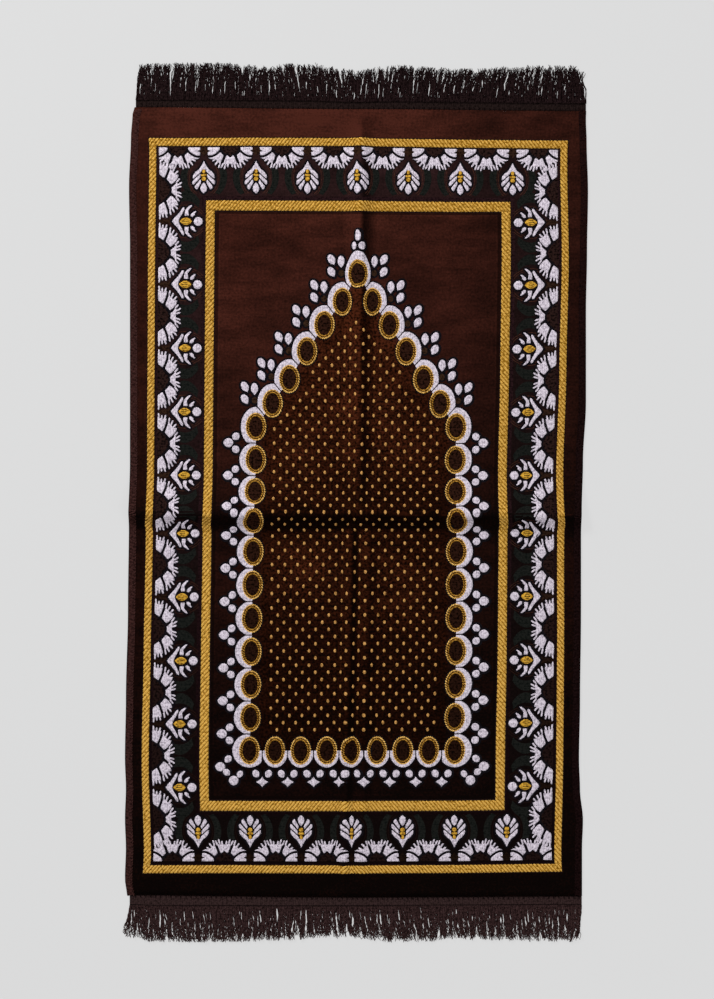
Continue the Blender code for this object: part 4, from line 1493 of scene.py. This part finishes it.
def fringe_tree():
    """Grows a ply from every root: it twists round its yarn, wanders sideways and frays at its tip."""
    tree, given, result = new_tree(
        "fringe_yarns", "GeometryNodeTree",
        {"Geometry": ["Roots"], "Int": ["Steps", "Sides"], "Material": ["Material"],
         "Float": ["Ply Radius", "Twist Radius", "Twists", "Wander", "Fray", "Rise", "Seed"]},
        {"Geometry": ["Yarns"]})
    line = add_node(tree, "GeometryNodeCurvePrimitiveLine", {"Start": (0, 0, 0), "End": (0, 1, 0)})
    steps = add_node(tree, "GeometryNodeResampleCurve", {"Curve": line, "Count": given["Steps"]})
    reach = add_node(tree, "ShaderNodeCombineXYZ", {0: 1.0, 1: attribute(tree, "reach"), 2: 1.0})
    placed = add_node(tree, "GeometryNodeInstanceOnPoints",
                      {"Points": given["Roots"], "Instance": steps, "Scale": reach})
    real = add_node(tree, "GeometryNodeRealizeInstances", {0: placed})

    share = Value(add_node(tree, "GeometryNodeSplineParameter"))
    late = share.math("POWER", 3.0)
    yarn, phase = attribute(tree, "yarn"), attribute(tree, "phase")
    turn = (share * given["Twists"] + phase) * (2 * math.pi)

    def noise(*place):
        place = add_node(tree, "ShaderNodeCombineXYZ", dict(enumerate(place)))
        made = add_node(tree, "ShaderNodeTexNoise", {"Vector": place, "Scale": 1.0, "Detail": 1.0})
        return split(tree, made.outputs["Color"])

    def offset(part, amount, power):
        return (part - 0.5) * amount * share.math("POWER", power)

    wander = noise(yarn + given["Seed"], share * 1.6, 0.0)
    fray = noise(yarn, phase * 37.0, share * 2.5)
    sideways = turn.math("COSINE") * (late * given["Fray"] + given["Twist Radius"])
    sideways = sideways + attribute(tree, "lean") * share + offset(wander[0], given["Wander"], 0.8)
    sideways = sideways + offset(fray[0], given["Fray"] * 6.0, 2.5)
    endways = offset(fray[1], given["Fray"] * 5.0, 2.5)
    upward = (turn.math("SINE") + 1.0) * given["Twist Radius"]
    upward = upward + attribute(tree, "layer") * given["Rise"] + given["Ply Radius"]
    shift = add_node(tree, "ShaderNodeCombineXYZ", {0: sideways, 1: endways, 2: upward})
    moved = add_node(tree, "GeometryNodeSetPosition", {"Geometry": real, "Offset": shift})
    radius = given["Ply Radius"] * (late * -0.45 + 1.0)
    sized = add_node(tree, "GeometryNodeSetCurveRadius", {"Curve": moved, "Radius": radius})
    ring = add_node(tree, "GeometryNodeCurvePrimitiveCircle", {"Resolution": given["Sides"], "Radius": 1.0})
    tube = add_node(tree, "GeometryNodeCurveToMesh",
                    {"Curve": sized, "Profile Curve": ring, "Fill Caps": True})
    if "Scale" in tube.inputs:
        tree.links.new(radius.socket, tube.inputs["Scale"])
    done = add_node(tree, "GeometryNodeSetMaterial", {"Geometry": tube, "Material": given["Material"]})
    tree.links.new(done.outputs[0], result["Yarns"])
    return tree


def lay_on_floor(name, mesh, material, smooth, node):
    """Makes a part of a fringe a piece, with a flat map in metres."""
    map_flat(mesh)
    add_piece(name, mesh, material, smooth, node)


grow_yarns = fringe_tree()
# Painted light and shade: the bottom fringe's yarn and tape are the same as the top's, painted lighter
top_yarn = thread("top_yarn", (0.0034, 0.0018, 0.0018), (0.0225, 0.0118, 0.0122), 0.9, 500, 500, 0.0002)
bottom_yarn = thread("bottom_yarn", (0.0095, 0.0046, 0.0044), (0.0620, 0.0320, 0.0310), 0.9, 500, 500, 0.0002)
top_tape = thread("top_tape", (0.0034, 0.0020, 0.0018), (0.0190, 0.0110, 0.0100), 0.7, 420, 640, 0.0004)
bottom_tape = thread("bottom_tape", (0.0085, 0.0048, 0.0045), (0.0430, 0.0235, 0.0225), 0.7, 420, 640, 0.0004)
tape_stitch = thread("tape_stitch", (0.0030, 0.0018, 0.0018), (0.0120, 0.0070, 0.0070), 0.6, 700, 700, 0.0002)

for node, table, column, way, seed, yarn, tape_weave in (
        ("fringe_top", TOP_FRINGE, 1, 1, 3, top_yarn, top_tape),
        ("fringe_bottom", BOTTOM_FRINGE, 2, -1, 5, bottom_yarn, bottom_tape)):
    chance = np.random.default_rng(seed)
    left, right = table[0][0], table[-1][0]
    across = np.linspace(left, right, TAPE_STEPS)
    sewn_edge = read_table(ENDS, across, column) + way * PARTING
    tape_width = read_table(table, across, 1) - sewn_edge
    tape = new_shape()
    rails = [np.stack([across, sewn_edge + tape_width * share], axis=-1) for share, _ in TAPE_SECTION]
    add_ribbon(tape, rails, [height * TAPE_THICKNESS for _, height in TAPE_SECTION], False)
    lay_on_floor(node + "_tape", shape_mesh(node + "_tape", tape), tape_weave, False, node)

    teeth, line = [], []
    for number in range(int((right - left) / STITCH_PITCH)):
        px = left + (number + 0.5) * STITCH_PITCH
        edge, tape_y = float(read_table(ENDS, px, column)), float(read_table(table, px, 1))
        if number % 3 == 0:
            teeth.append((px, edge + way * TOOTH_INSET, chance.uniform(-0.2, 0.2), 1.0))
        line.append((px, tape_y - way * LINE_INSET, math.pi / 2 + chance.uniform(-0.15, 0.15), 1.0))
        line.append((px, tape_y - way * RIM_INSET, chance.uniform(-0.3, 0.3), 0.8))
    stitches = joined(node + "_stitching", [set_at(teeth, stitch, tape_stitch, TOOTH_SIZE, TOOTH_RISE),
                                            set_at(line, stitch, tape_stitch, LINE_SIZE, LINE_RISE)])
    lay_on_floor(node + "_stitching", stitches, tape_stitch, True, node)

    plies = []
    pitch = (right - left) / YARNS_PER_END
    bunch_pull = chance.uniform(-1, 1, YARNS_PER_END // BUNCH + 2)
    bunch_reach = chance.uniform(-1, 1, YARNS_PER_END // BUNCH + 2)
    for number in range(YARNS_PER_END):
        px = left + pitch * (number + 0.5) + chance.uniform(-ROOT_SCATTER, ROOT_SCATTER) * pitch
        tape_y = float(read_table(table, px, 1)) - way * ROOT_DEPTH
        bunch, member = divmod(number + int(chance.integers(0, 3)), BUNCH)
        reach = abs(float(read_table(table, px, 2))) + chance.uniform(*REACH_SPREAD)
        reach = way * min(reach + bunch_reach[bunch] * BUNCH_REACH, FRINGE_LIMIT) - tape_y
        gather = -(member - (BUNCH - 1) / 2) * pitch * BUNCH_TURN_IN + bunch_pull[bunch] * BUNCH_LEAN
        lean = float(read_table(table, px, 3)) + gather + chance.normal(0, LEAN_SPREAD)
        layer, phase = chance.uniform(0, 1, 2)
        for ply in range(PLIES):
            plies.append((px, tape_y, reach, lean, phase + ply / PLIES, number * 0.12 + phase * 0.9, layer))
    root_x, root_y, *facts = zip(*plies)
    roots = [(px, py, 0.0) for px, py in zip(root_x, root_y)]
    yarns = run_tree(roots, dict(zip(("reach", "lean", "phase", "yarn", "layer"), facts)), grow_yarns,
                     {**YARN_LOOKS, "Seed": seed * 10.0, "Material": yarn})
    lay_on_floor(node + "_yarns", yarns, yarn, True, node)
